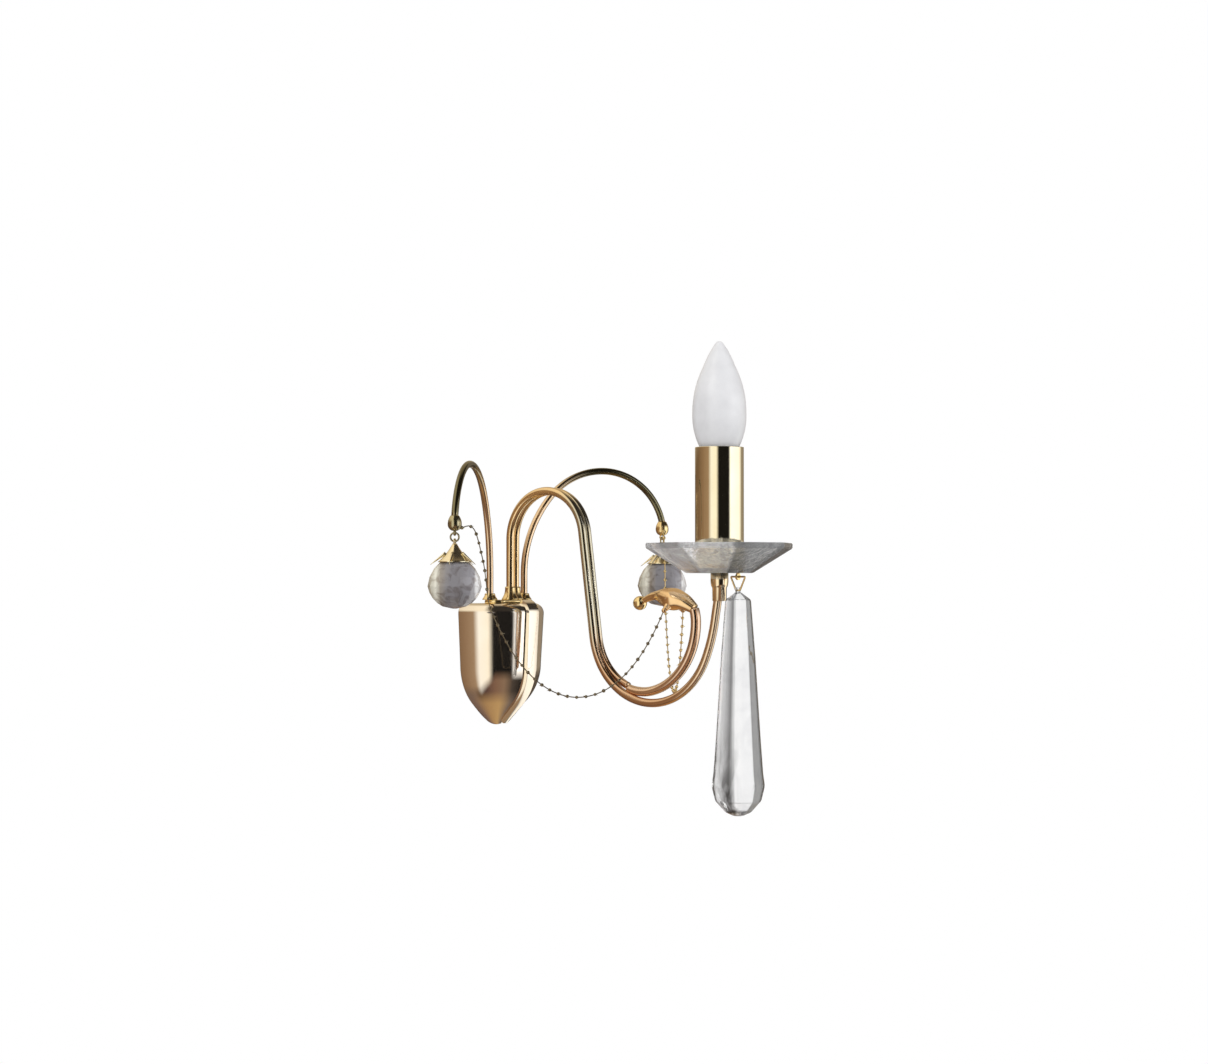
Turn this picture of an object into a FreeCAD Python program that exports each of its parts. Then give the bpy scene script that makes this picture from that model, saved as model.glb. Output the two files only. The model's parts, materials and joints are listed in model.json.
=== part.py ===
"""Single-light crystal wall sconce in polished brass, in millimetres.

Frame: +X to the right, +Y into the wall, +Z up.  The origin is the middle of the
wall bracket's back face, so the wall is the plane y = 0 and the light stands out
towards -Y.  "Out" in a size's name is a distance from the wall, measured along -Y.
"""
import FreeCAD, Part
import math
import os
import re

import Sketcher

Vector = FreeCAD.Vector
UP = Vector(0, 0, 1)

doc = FreeCAD.newDocument("CrystalWallSconce")
sizes = doc.addObject("Spreadsheet::Sheet", "Sizes")

DRIVING_SIZES = [
    # bullet-shaped body: a turned shell cut off flat at the wall
    ("body_axis_out", 6.0, "axis of the turned body"),
    ("body_radius", 33.0, "radius below the shoulder"),
    ("body_waist", 31.0, "radius where the side starts to curve in"),
    ("body_top", 26.0, "height of the flat top"),
    ("body_bottom", -58.5, "height of the tip"),
    ("body_shoulder", 7.0, "rounding at the top edge"),
    ("body_curve_top", -16.0, "height where the side starts to curve in"),
    ("body_curve", 38.4, "radius of the side's curve"),
    ("body_tip_round", 9.5, "radius of the tip"),
    ("body_wall", 1.6, "thickness of the shell"),
    ("band_width", 10.0, "raised band down the front"),
    ("band_tip", 4.0, "raised band at the tip"),
    ("band_proud", 2.6, "how far the band stands proud"),
    ("skin_gap", 0.05, "seam between band and shell"),
    # wall bracket and wiring
    ("bracket_width", 57.0, "crossbar, side to side"),
    ("bracket_depth", 14.0, "crossbar, top to bottom"),
    ("bracket_gauge", 1.5, "sheet thickness"),
    ("bracket_ear", 12.0, "length of the folded ears"),
    ("bracket_tongue", 36.0, "how far the tongue reaches below the middle"),
    ("wall_screw_spread", 32.0, "between the two wall screw holes"),
    ("wall_screw_hole", 4.5, "wall screw hole"),
    ("cable_hole", 9.0, "mains cable entry"),
    ("cover_screw", 4.0, "side grub screws"),
    ("cover_screw_out", 8.0, "side grub screws, from the wall"),
    ("block_width", 24.0, "terminal block"),
    ("block_depth", 12.0, "terminal block, front to back"),
    ("block_tall", 14.0, "terminal block, height"),
    # plate and arms on top of the body
    ("arm_plate_length", 41.0, "oval plate under the arms"),
    ("arm_plate_breadth", 17.0, "oval plate, front to back"),
    ("arm_plate_thick", 2.4, "oval plate thickness"),
    ("collar_foot", 5.2, "collar of a crystal arm, radius of its foot"),
    ("collar_rim", 1.1, "collar of a crystal arm, wall at its rim"),
    ("collar_tall", 4.4, "collar of a crystal arm, height"),
    ("cluster_tall", 9.0, "collars round the candle arm and the scroll rod"),
    ("washer_thick", 0.8, "washers under the body's top"),
    ("nut_thick", 2.6, "nuts under the body's top"),
    ("arm_out", 19.0, "root of the candle arm"),
    ("arm_tube", 5.6, "candle arm, outside"),
    ("arm_bore", 4.4, "candle arm, bore for the leads"),
    ("arm_thread_end", 16.0, "height of the arm's threaded end in the body"),
    ("arch_radius", 33.0, "arch of the candle arm"),
    ("arch_top", 103.2, "height of the arch"),
    ("fall_lean", 8.0, "lean of the falling tube, degrees"),
    ("bend_radius", 50.0, "bottom bend of the candle arm"),
    ("bend_low", -39.2, "height of the bottom bend"),
    ("rise_turn", 24.0, "lean where the bottom bend opens out, degrees"),
    ("rise_radius", 110.0, "open bend of the rising tube"),
    ("rise_lean", 10.0, "lean of the rising tube, degrees"),
    ("lean_end", 34.0, "height where the rising tube straightens"),
    ("straighten_radius", 40.0, "bend that straightens the tube"),
    ("arm_end", 44.0, "height of the tube's upper end"),
    ("scroll_rod", 5.0, "rod that carries the scroll"),
    ("scroll_side", 5.5, "scroll rod beside the candle arm"),
    ("scroll_bend", 41.0, "bottom bend of the scroll rod"),
    ("scroll_rod_turn", 69.0, "where the scroll rod ends on its bend, degrees"),
    ("side_rod", 4.7, "crystal arms"),
    ("side_root", 17.6, "crystal arm root, from the middle"),
    ("side_root_out", 16.0, "crystal arm root, from the wall"),
    ("side_turn", 30.0, "crystal arms turned out from the wall, degrees"),
    ("side_rise", 46.5, "height where the crystal arm starts to bend"),
    ("side_bend_one", 85.0, "first bend of the crystal arm"),
    ("side_bend_two", 51.0, "second bend of the crystal arm"),
    ("side_bend_three", 46.0, "falling bend of the crystal arm"),
    ("side_angle_one", 40.0, "turn of the first bend, degrees"),
    ("side_angle_three", 78.0, "turn of the falling bend, degrees"),
    # scroll ring, leaf and ball
    ("scroll_thick", 6.2, "scroll band, in the picture plane"),
    ("scroll_broad", 7.6, "scroll band, across"),
    ("scroll_shift", 2.7, "scroll band, beside the candle arm"),
    ("scroll_low_out", 142.8, "lowest stretch of the scroll, from the wall"),
    ("scroll_low", -31.4, "lowest stretch of the scroll"),
    ("scroll_start_bend", 35.0, "bend at the scroll's cut end"),
    ("scroll_start_lean", 20.0, "fall at the cut end, degrees"),
    ("scroll_low_lean", 12.0, "rise after the lowest stretch, degrees"),
    ("scroll_sweep", 47.0, "long bend of the scroll"),
    ("scroll_tuck", 25.0, "bend into the leaf"),
    ("scroll_tuck_turn", 20.0, "turn into the leaf, degrees"),
    ("ball_radius", 4.7, "ball at the end of the scroll"),
    ("ball_out", 135.2, "ball, from the wall"),
    ("ball_height", 26.8, "ball"),
    ("leaf_corner_side", 10.0, "leaf corner, from the middle"),
    ("leaf_corner_out", 163.6, "leaf corner, from the wall"),
    ("leaf_corner_height", 22.2, "leaf corner"),
    # candle
    ("ferrule_bottom", 28.5, "ferrule under the dish"),
    ("ferrule_radius", 5.8, "ferrule, upper part"),
    ("ferrule_foot", 4.6, "ferrule, lower end"),
    ("dish_bottom", 46.6, "underside of the dish"),
    ("dish_rim", 66.0, "rim of the dish"),
    ("dish_rim_radius", 48.8, "rim, to the corners"),
    ("dish_lip", 3.4, "height of the upright lip round the rim"),
    ("dish_base_radius", 22.3, "underside, to the corners"),
    ("dish_base_thick", 4.6, "thickness of the dish's base"),
    ("dish_wall", 4.4, "thickness of the dish's wall, level"),
    ("dish_turn", 5.0, "turn of the dish about its axis, degrees"),
    ("nipple_radius", 4.9, "threaded pipe through the dish"),
    ("nipple_bore", 3.4, "bore radius of the threaded pipe"),
    ("sleeve_radius", 15.8, "candle sleeve, outside"),
    ("sleeve_wall", 0.9, "candle sleeve wall"),
    ("sleeve_top", 128.0, "top of the candle sleeve"),
    ("holder_radius", 12.5, "lamp holder, outside"),
    ("holder_bore", 7.3, "lamp holder, inside"),
    ("holder_top", 118.5, "top of the lamp holder"),
    ("cap_radius", 6.9, "lamp cap, 14 mm class"),
    ("cap_length", 22.0, "lamp cap"),
    ("bulb_radius", 17.5, "candle bulb, widest"),
    ("bulb_neck", 6.6, "candle bulb, at the cap"),
    ("bulb_bottom", 120.0, "lower end of the glass"),
    ("bulb_widest", 150.0, "height of the widest part"),
    ("bulb_top", 196.8, "tip of the bulb"),
    ("bulb_tip", 3.0, "rounding of the bulb's tip"),
    # hanging crystals
    ("knob_radius", 4.6, "knob at the crystal arm's tip"),
    ("knob_tall", 10.0, "height of the knob"),
    ("ring_wire", 0.6, "radius of the hanging rings' wire"),
    ("ring_radius", 2.8, "hanging ring, to the wire's middle"),
    ("eye_hole", 1.0, "radius of the holes that the rings run in"),
    ("calyx_radius", 11.0, "calyx, lower edge"),
    ("calyx_tall", 12.0, "calyx"),
    ("calyx_gauge", 0.8, "calyx, wall"),
    ("calyx_play", 0.3, "between calyx and crystal"),
    ("crystal_radius", 17.6, "round crystal, widest"),
    ("crystal_bottom", 23.5, "lower end of the round crystal"),
    ("crystal_widest", 38.0, "height of the round crystal's widest part"),
    ("drop_out", 216.4, "long drop, from the wall"),
    ("drop_pivot", 44.2, "eye that the long drop hangs from"),
    ("drop_top", 37.5, "top of the long drop"),
    ("drop_bottom", -109.2, "bottom of the long drop"),
    ("drop_shoulder", 8.4, "long drop, radius at the shoulder"),
    ("drop_radius", 17.3, "long drop, widest radius"),
    ("link_width", 11.6, "triangular link that holds the drop"),
    # bead garlands
    ("bead_radius", 1.25, "beads of the garland"),
    ("bead_pitch", 6.0, "between beads"),
    ("garland_wire", 0.35, "radius of the garland's wire"),
    ("stud_radius", 1.2, "stud on the knob that holds the garland"),
    ("stud_out", 4.6, "stud, from the knob's axis"),
    ("stud_height", 76.0, "stud"),
    ("eye_radius", 1.7, "eye on the leaf's corner that holds the garland"),
    ("garland_sag", 34.9, "catenary constant of the garland"),
    ("garland_low", -34.2, "lowest point of the garland"),
    ("garland_low_run", 80.1, "lowest point, level from the crystal arm's tip"),
]
for row, (alias, value, note) in enumerate(DRIVING_SIZES, start=1):
    sizes.set("A%d" % row, note)
    sizes.set("B%d" % row, str(value))
    sizes.setAlias("B%d" % row, alias)
doc.recompute()

ALIASES = {alias for alias, value, note in DRIVING_SIZES}


def size(alias):
    """The sheet's value of one driving size."""
    return float(getattr(sizes, alias))


def bound(expression):
    """The expression with each alias spelt as the sheet's cell."""
    def spell(match):
        word = match.group()
        return "Sizes." + word if word in ALIASES else word
    return re.sub(r"[a-z][a-z_]*", spell, str(expression))


def worth(expression):
    """The expression's value now; its angles are in degrees."""
    return float(sizes.evalExpression(bound(expression)))


# ---------------------------------------------------------------- drawing helpers

def make_body(name, x="0", y="0", z="0", turn="0"):
    """A turned, padded or piped piece, its own frame turned about the vertical."""
    body = doc.addObject("PartDesign::Body", name)
    body.Label = name
    body.Placement = FreeCAD.Placement(Vector(), FreeCAD.Rotation(UP, worth(turn)))
    body.setExpression("Placement.Rotation.Angle", bound(turn))
    for axis, place in zip("xyz", (x, y, z)):
        body.setExpression("Placement.Base." + axis, bound(place))
    return body


def make_sketch(body, name, role, lift="0"):
    """A sketch on one of the body's own origin planes, lifted off it."""
    sketch = body.newObject("Sketcher::SketchObject", name)
    plane = next(item for item in body.Origin.OriginFeatures if item.Role == role)
    sketch.AttachmentSupport = [(plane, "")]
    sketch.MapMode = "FlatFace"
    sketch.setExpression("AttachmentOffset.Base.z", bound(lift))
    return sketch


def arc_between(start, end, radius, side):
    """The short arc from start to end; side +1 turns left on the way, -1 right."""
    chord = end - start
    half = chord.Length / 2
    rise = math.sqrt(max(radius * radius - half * half, 0.0))
    across = Vector(-chord.y, chord.x, 0).normalize()
    centre = start + chord * 0.5 + across * (side * rise)
    first = math.atan2(start.y - centre.y, start.x - centre.x)
    last = math.atan2(end.y - centre.y, end.x - centre.x)
    if side < 0:
        first, last = last, first
    return Part.ArcOfCircle(Part.Circle(centre, UP, radius), first, last)


def pin_point(sketch, geometry, end, corner):
    """Holds a drawn point at the corner's two expressions."""
    for kind, axis, place in (("DistanceX", -2, corner[0]), ("DistanceY", -1, corner[1])):
        value = worth(place)
        if abs(value) < 1e-9:
            sketch.addConstraint(Sketcher.Constraint("PointOnObject", geometry, end, axis))
            continue
        index = sketch.addConstraint(
            Sketcher.Constraint(kind, -1, 1, geometry, end, value))
        sketch.setExpression("Constraints[%d]" % index, bound(place))


def draw_path(sketch, corners, arcs=None, closed=True):
    """Draws lines through the corners; arcs gives a side's radius and its turn."""
    arcs = arcs or {}
    points = [Vector(worth(across), worth(along), 0) for across, along in corners]
    count = len(points) if closed else len(points) - 1
    for side in range(count):
        start, end = points[side], points[(side + 1) % len(points)]
        if side not in arcs:
            drawn = sketch.addGeometry(Part.LineSegment(start, end))
            near, far = 1, 2
        else:
            radius, turn = arcs[side]
            drawn = sketch.addGeometry(arc_between(start, end, worth(radius), turn))
            near, far = (1, 2) if turn > 0 else (2, 1)
        pin_point(sketch, drawn, near, corners[side])
        pin_point(sketch, drawn, far, corners[(side + 1) % len(points)])
        if side in arcs:
            index = sketch.addConstraint(
                Sketcher.Constraint("Radius", drawn, worth(arcs[side][0])))
            sketch.setExpression("Constraints[%d]" % index, bound(arcs[side][0]))
    if sketch.solve() != 0:
        raise RuntimeError("sketch %s of %s has no solution" % (sketch.Name, corners))


def draw_circle(sketch, across, along, radius):
    """A circle held by its centre and radius."""
    middle = Vector(worth(across), worth(along), 0)
    drawn = sketch.addGeometry(Part.Circle(middle, UP, worth(radius)))
    pin_point(sketch, drawn, 3, (across, along))
    index = sketch.addConstraint(Sketcher.Constraint("Radius", drawn, worth(radius)))
    sketch.setExpression("Constraints[%d]" % index, bound(radius))


def turned(name, corners, arcs=None, x="0", y="0", z="0", turn="0"):
    """A piece turned on the lathe: its half section is (radius, height)."""
    body = make_body(name, x, y, z, turn)
    sketch = make_sketch(body, name + "_section", "XZ_Plane")
    draw_path(sketch, corners, arcs)
    spin = body.newObject("PartDesign::Revolution", name + "_spin")
    spin.Profile = sketch
    spin.ReferenceAxis = (sketch, ["V_Axis"])
    spin.Angle = 360
    return body


def cut_through(body, name, shapes, role="XY_Plane", reach=400):
    """Cuts shapes right through, both ways; a shape is a circle or a corner list."""
    sketch = make_sketch(body, name, role)
    for shape in shapes:
        if isinstance(shape, tuple):
            draw_circle(sketch, *shape)
        else:
            draw_path(sketch, shape)
    doc.recompute()
    before = body.Shape.Volume
    pocket = body.newObject("PartDesign::Pocket", name + "_cut")
    pocket.Profile = sketch
    pocket.Midplane = True
    pocket.Length = reach
    doc.recompute()
    if body.Shape.Volume > before - 1e-3:
        raise RuntimeError("%s cuts nothing" % name)


def rectangle(left, right, low, high):
    """Corner expressions of a rectangle."""
    return [(left, low), (right, low), (right, high), (left, high)]


def piped(name, route, role, section, lift, bends, x="0", y="0", turn="0"):
    """A rod or tube bent along a flat route; section holds its circles."""
    body = make_body(name, x, y, "0", turn)
    path = make_sketch(body, name + "_route", role)
    draw_path(path, route, bends, closed=False)
    end = make_sketch(body, name + "_end", "XY_Plane", lift)
    for circle in section:
        draw_circle(end, *circle)
    pipe = body.newObject("PartDesign::AdditivePipe", name + "_pipe")
    pipe.Profile = end
    pipe.Spine = (path, ["Edge%d" % (edge + 1) for edge in range(len(route) - 1)])
    return body


def primitive(kind, name, x="0", y="0", z="0", tilt=None, **dimensions):
    """A Part primitive with its dimensions and place bound to the sheet."""
    piece = doc.addObject("Part::" + kind, name)
    if tilt:
        piece.Placement = FreeCAD.Placement(Vector(), FreeCAD.Rotation(*tilt))
    for prop, expression in dimensions.items():
        piece.setExpression(prop, bound(expression))
    for axis, place in zip("xyz", (x, y, z)):
        piece.setExpression("Placement.Base." + axis, bound(place))
    return piece


def combined(kind, name, pieces):
    """A boolean or a group of pieces; Cut takes the second from the first."""
    result = doc.addObject("Part::" + kind, name)
    if kind == "Cut":
        result.Base, result.Tool = pieces
    elif kind == "Compound":
        result.Links = pieces
    else:
        result.Shapes = pieces
    result.Label = name
    return result


ALONG_X = (Vector(0, 1, 0), 90)
ALONG_Y = (Vector(1, 0, 0), 90)
nodes = []


def keep(piece):
    """Puts a finished sub-part on the list of nodes."""
    nodes.append(piece)
    return piece


# ---------------------------------------------------------------- body

def bullet(inset):
    """Half section of the body's skin, inset from it, from the top to the tip."""
    corners = [
        ("0", f"body_top - ({inset})"),
        ("body_radius - body_shoulder", f"body_top - ({inset})"),
        (f"body_radius - ({inset})", "body_top - body_shoulder"),
        (f"body_waist - ({inset})", "body_curve_top"),
        (f"body_waist - body_curve + (body_curve - ({inset})) * cos(45)",
         f"body_curve_top - (body_curve - ({inset})) * sin(45)"),
        (f"(body_tip_round - ({inset})) * cos(45)",
         f"body_bottom + body_tip_round - (body_tip_round - ({inset})) * sin(45)"),
        ("0", f"body_bottom + ({inset})"),
    ]
    bends = {1: f"body_shoulder - ({inset})", 3: f"body_curve - ({inset})",
             5: f"body_tip_round - ({inset})"}
    return corners, bends


def skin_ring(outer_inset, inner_inset, first, last):
    """Closed section between two insets of the body's skin, from corner to corner."""
    outer, outer_bends = bullet(outer_inset)
    inner, inner_bends = bullet(inner_inset)
    corners = outer[first:last + 1] + inner[first:last + 1][::-1]
    steps = last - first
    arcs = {side - first: (radius, -1)
            for side, radius in outer_bends.items() if first <= side < last}
    for side, radius in inner_bends.items():
        if first <= side < last:
            arcs[2 * steps - (side - first)] = (radius, 1)
    return corners, arcs


BODY_Y = "-body_axis_out"
shell_corners, shell_arcs = skin_ring("0", "body_wall", 0, 6)
body_shell = keep(turned("body_shell", shell_corners, shell_arcs, y=BODY_Y))
cut_through(body_shell, "wall_side", [rectangle("-60", "60", "body_axis_out", "90")])


def cut_near(body, name, shapes, lift, depth):
    """Cuts shapes through a wall that lies within depth of the lifted sketch."""
    sketch = make_sketch(body, name, "XY_Plane", lift)
    for shape in shapes:
        draw_circle(sketch, *shape)
    pocket = body.newObject("PartDesign::Pocket", name + "_cut")
    pocket.Profile = sketch
    pocket.Midplane = True
    pocket.setExpression("Length", bound(depth))
    doc.recompute()


ARM_LOCAL_Y = "-(arm_out - body_axis_out)"
SIDE_LOCAL_Y = "-(side_root_out - body_axis_out)"
cut_near(body_shell, "arm_holes",
         [("0", ARM_LOCAL_Y, "arm_tube / 2 + 0.15"),
          ("side_root", SIDE_LOCAL_Y, "side_rod / 2 + 0.15"),
          ("-side_root", SIDE_LOCAL_Y, "side_rod / 2 + 0.15")],
         "body_top", "4 * body_wall")
cut_through(body_shell, "cover_screw_holes",
            [("body_axis_out - cover_screw_out", "0", "cover_screw / 2 + 0.15")],
            role="YZ_Plane")

band_corners, band_arcs = skin_ring("-band_proud", "-skin_gap", 1, 5)
front_band = keep(turned("front_band", band_corners, band_arcs, y=BODY_Y))
cut_through(front_band, "band_back", [rectangle("-60", "60", "0", "60")])
cut_through(front_band, "band_sides", [
    [(f"{side}band_width / 2", "60"), (f"{side}band_width / 2", "body_curve_top"),
     (f"{side}band_tip / 2", "body_bottom"), (f"{side}band_tip / 2", "-90"),
     (f"{side}60", "-90"), (f"{side}60", "60")] for side in ("-", "")], role="XZ_Plane")


# ---------------------------------------------------------------- wall bracket, wiring

def padded(body, name, corners, thickness, role="XZ_Plane", lift="0"):
    """Adds a plate of one thickness, drawn as a corner list."""
    sketch = make_sketch(body, name, role, lift)
    draw_path(sketch, corners)
    pad = body.newObject("PartDesign::Pad", name + "_pad")
    pad.Profile = sketch
    pad.setExpression("Length", bound(thickness))
    return pad


wall_bracket = keep(make_body("wall_bracket"))
padded(wall_bracket, "crossbar", [
    ("-bracket_width / 2", "-bracket_depth / 2"), ("-bracket_depth / 2", "-bracket_depth / 2"),
    ("-bracket_depth / 2", "-bracket_tongue"), ("bracket_depth / 2", "-bracket_tongue"),
    ("bracket_depth / 2", "-bracket_depth / 2"), ("bracket_width / 2", "-bracket_depth / 2"),
    ("bracket_width / 2", "bracket_depth / 2"), ("-bracket_width / 2", "bracket_depth / 2")],
    "bracket_gauge")
EAR = rectangle("-bracket_gauge - bracket_ear", "0", "-bracket_depth / 2", "bracket_depth / 2")
padded(wall_bracket, "right_ear", EAR, "bracket_gauge", "YZ_Plane",
       "bracket_width / 2 - bracket_gauge")
padded(wall_bracket, "left_ear", EAR, "bracket_gauge", "YZ_Plane", "-bracket_width / 2")
cut_through(wall_bracket, "bracket_holes", [
    ("wall_screw_spread / 2", "0", "wall_screw_hole / 2"),
    ("-wall_screw_spread / 2", "0", "wall_screw_hole / 2"),
    ("0", "0", "cable_hole / 2"), ("0", "-13.5", "1.7")], role="XZ_Plane")
cut_through(wall_bracket, "ear_holes",
            [("-cover_screw_out", "0", "cover_screw / 2 + 0.05")], role="YZ_Plane")

EAR_INSIDE = "bracket_width / 2 - bracket_gauge - 1"
BODY_SIDE = "sqrt(body_waist * body_waist - (cover_screw_out - body_axis_out) ^ 2) + 0.6"
cover_screws = keep(combined("Compound", "cover_screws", [
    primitive("Cylinder", "right_grub", x=EAR_INSIDE, y="-cover_screw_out", tilt=ALONG_X,
              Radius="cover_screw / 2", Height=f"{BODY_SIDE} - ({EAR_INSIDE})"),
    primitive("Cylinder", "left_grub", x=f"-({BODY_SIDE})", y="-cover_screw_out", tilt=ALONG_X,
              Radius="cover_screw / 2", Height=f"{BODY_SIDE} - ({EAR_INSIDE})")]))

earth_screw = keep(combined("MultiFuse", "earth_screw", [
    primitive("Cylinder", "earth_shank", y="0", z="-13.5", tilt=ALONG_Y,
              Radius="1.5", Height="bracket_gauge + 1"),
    primitive("Cylinder", "earth_head", y="-bracket_gauge", z="-13.5", tilt=ALONG_Y,
              Radius="3", Height="2.4")]))

BLOCK_TOP = "-bracket_tongue + block_tall"
POLES = ("-block_width / 3", "0", "block_width / 3")
block = primitive("Box", "block_body", x="-block_width / 2", y="-bracket_gauge - block_depth",
                  z="-bracket_tongue", Length="block_width", Width="block_depth",
                  Height="block_tall")
POLE_Y = "-bracket_gauge - block_depth / 2"
bores = [primitive("Cylinder", "pole_%d" % number, x=place, y=POLE_Y, z="-bracket_tongue - 1",
                   Radius="1.7", Height="block_tall + 2")
         for number, place in enumerate(POLES)]
terminal_block = keep(combined("Cut", "terminal_block",
                               [block, combined("Compound", "poles", bores)]))
screws = [primitive("Cylinder", "pole_screw_%d_%d" % (column, level), x=place,
                    y="-bracket_gauge - block_depth", z=f"{BLOCK_TOP} - block_tall * {level}",
                    tilt=ALONG_Y, Radius="1.5", Height="1")
          for column, place in enumerate(POLES) for level in (0.28, 0.72)]
terminal_screws = keep(combined("Compound", "terminal_screws", screws))

# ---------------------------------------------------------------- candle arm

ARCH_Z = "(arch_top - arch_radius)"
FALL_TOP_OUT = "(arm_out + arch_radius * (1 + cos(fall_lean)))"
FALL_TOP = f"({ARCH_Z} + arch_radius * sin(fall_lean))"
FALL_END = "(bend_low + bend_radius * (1 - sin(fall_lean)))"
FALL_END_OUT = f"({FALL_TOP_OUT} + ({FALL_TOP} - {FALL_END}) * tan(fall_lean))"
BEND_OUT = f"({FALL_END_OUT} + bend_radius * cos(fall_lean))"
RISE_OUT = f"({BEND_OUT} + bend_radius * cos(rise_turn))"
RISE_Z = "(bend_low + bend_radius * (1 - sin(rise_turn)))"
LEAN_OUT = f"({RISE_OUT} + rise_radius * (cos(rise_lean) - cos(rise_turn)))"
LEAN_Z = f"({RISE_Z} + rise_radius * (sin(rise_turn) - sin(rise_lean)))"
STRAIGHTEN_OUT = f"({LEAN_OUT} + (lean_end - {LEAN_Z}) * tan(rise_lean))"
CANDLE_OUT = f"({STRAIGHTEN_OUT} + straighten_radius * (1 - cos(rise_lean)))"

ARM_ROUTE = [
    ("-arm_out", "arm_thread_end"), ("-arm_out", ARCH_Z),
    ("-(arm_out + arch_radius)", "arch_top"), (f"-{FALL_TOP_OUT}", FALL_TOP),
    (f"-{FALL_END_OUT}", FALL_END), (f"-{BEND_OUT}", "bend_low"),
    (f"-{RISE_OUT}", RISE_Z), (f"-{LEAN_OUT}", LEAN_Z),
    (f"-{STRAIGHTEN_OUT}", "lean_end"),
    (f"-{CANDLE_OUT}", "lean_end + straighten_radius * sin(rise_lean)"),
    (f"-{CANDLE_OUT}", "arm_end")]
ARM_BENDS = {1: ("arch_radius", 1), 2: ("arch_radius", 1), 4: ("bend_radius", -1),
             5: ("bend_radius", -1), 6: ("rise_radius", -1), 8: ("straighten_radius", -1)}

candle_arm = keep(piped(
    "candle_arm", ARM_ROUTE, "YZ_Plane",
    [("0", "-arm_out", "arm_tube / 2"), ("0", "-arm_out", "arm_bore / 2")],
    "arm_thread_end", ARM_BENDS))
arm_core = piped("arm_core", ARM_ROUTE, "YZ_Plane",
                 [("0", "-arm_out", "arm_tube / 2 + skin_gap")], "arm_thread_end", ARM_BENDS)

SCROLL_ROD_ROUTE = ARM_ROUTE[:5] + [
    (f"-({FALL_END_OUT} + scroll_bend * (cos(fall_lean) - cos(scroll_rod_turn)))",
     f"{FALL_END} - scroll_bend * (sin(scroll_rod_turn) - sin(fall_lean))")]
SCROLL_ROD_ROUTE[0] = ("-arm_out", "body_top + skin_gap")
scroll_rod = keep(piped(
    "scroll_rod", SCROLL_ROD_ROUTE, "YZ_Plane", [("0", "-arm_out", "scroll_rod / 2")],
    "body_top + skin_gap",
    {1: ("arch_radius", 1), 2: ("arch_radius", 1), 4: ("scroll_bend", -1)}, x="scroll_side"))

# ---------------------------------------------------------------- plate, collars, nuts

PLATE_TOP = "(body_top + arm_plate_thick)"
HALF_STRAIGHT = "((arm_plate_length - arm_plate_breadth) / 2)"
PLATE_OUT = "((arm_out + side_root_out) / 2)"
plate_body = make_body("arm_plate_blank", y=f"-{PLATE_OUT}")
oval = make_sketch(plate_body, "oval", "XY_Plane", "body_top")
draw_path(oval, [(f"-{HALF_STRAIGHT}", "-arm_plate_breadth / 2"),
                 (HALF_STRAIGHT, "-arm_plate_breadth / 2"),
                 (f"{HALF_STRAIGHT} + arm_plate_breadth / 2", "0"),
                 (HALF_STRAIGHT, "arm_plate_breadth / 2"),
                 (f"-{HALF_STRAIGHT}", "arm_plate_breadth / 2"),
                 (f"-{HALF_STRAIGHT} - arm_plate_breadth / 2", "0")],
          {1: ("arm_plate_breadth / 2", 1), 2: ("arm_plate_breadth / 2", 1),
           4: ("arm_plate_breadth / 2", 1), 5: ("arm_plate_breadth / 2", 1)})
plate_pad = plate_body.newObject("PartDesign::Pad", "plate_pad")
plate_pad.Profile = oval
plate_pad.setExpression("Length", "Sizes.arm_plate_thick")
cut_through(plate_body, "plate_holes",
            [("0", f"{PLATE_OUT} - arm_out", "arm_tube / 2 + skin_gap"),
             ("side_root", f"{PLATE_OUT} - side_root_out", "side_rod / 2 + skin_gap"),
             ("-side_root", f"{PLATE_OUT} - side_root_out", "side_rod / 2 + skin_gap")])
rod_socket = primitive("Cylinder", "rod_socket", x="scroll_side", y="-arm_out", z="body_top - 1",
                       Radius="scroll_rod / 2 + skin_gap", Height="arm_plate_thick + 2")
arm_plate = keep(combined("Cut", "arm_plate", [plate_body, rod_socket]))

COLLAR_BOTTOM = f"{PLATE_TOP} + skin_gap"


def flared_collar(name, x, y, bore, foot, rim, height):
    """A ring that flares from its rim down to its foot on the plate."""
    return turned(name, [(bore, "0"), (foot, "0"), (foot, "0.8"),
                         (f"({foot} + 2 * ({rim})) / 3", f"({height}) / 3"),
                         (rim, height), (bore, height)],
                  x=x, y=y, z=COLLAR_BOTTOM)


for side, sign in (("left", "-"), ("right", "")):
    keep(flared_collar(side + "_arm_collar", sign + "side_root", "-side_root_out",
                       "side_rod / 2 + skin_gap", "collar_foot",
                       "side_rod / 2 + collar_rim", "collar_tall"))

cluster = combined("MultiFuse", "cluster_blank", [
    primitive("Cone", "candle_flare", y="-arm_out", z=COLLAR_BOTTOM,
              Radius1="arm_tube / 2 + 3.2", Radius2="arm_tube / 2 + 0.9",
              Height="cluster_tall"),
    primitive("Cone", "rod_flare", x="scroll_side", y="-arm_out", z=COLLAR_BOTTOM,
              Radius1="scroll_rod / 2 + 3", Radius2="scroll_rod / 2 + 0.9",
              Height="cluster_tall")])
cluster_bores = combined("Compound", "cluster_bores", [
    primitive("Cylinder", "candle_bore", y="-arm_out", z="body_top",
              Radius="arm_tube / 2 + skin_gap", Height="20"),
    primitive("Cylinder", "rod_bore", x="scroll_side", y="-arm_out", z="body_top",
              Radius="scroll_rod / 2 + skin_gap", Height="20"),
    primitive("Cylinder", "side_clearance", x="side_root", y="-side_root_out", z="body_top",
              Radius="collar_foot + 0.2", Height="20")])
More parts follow.
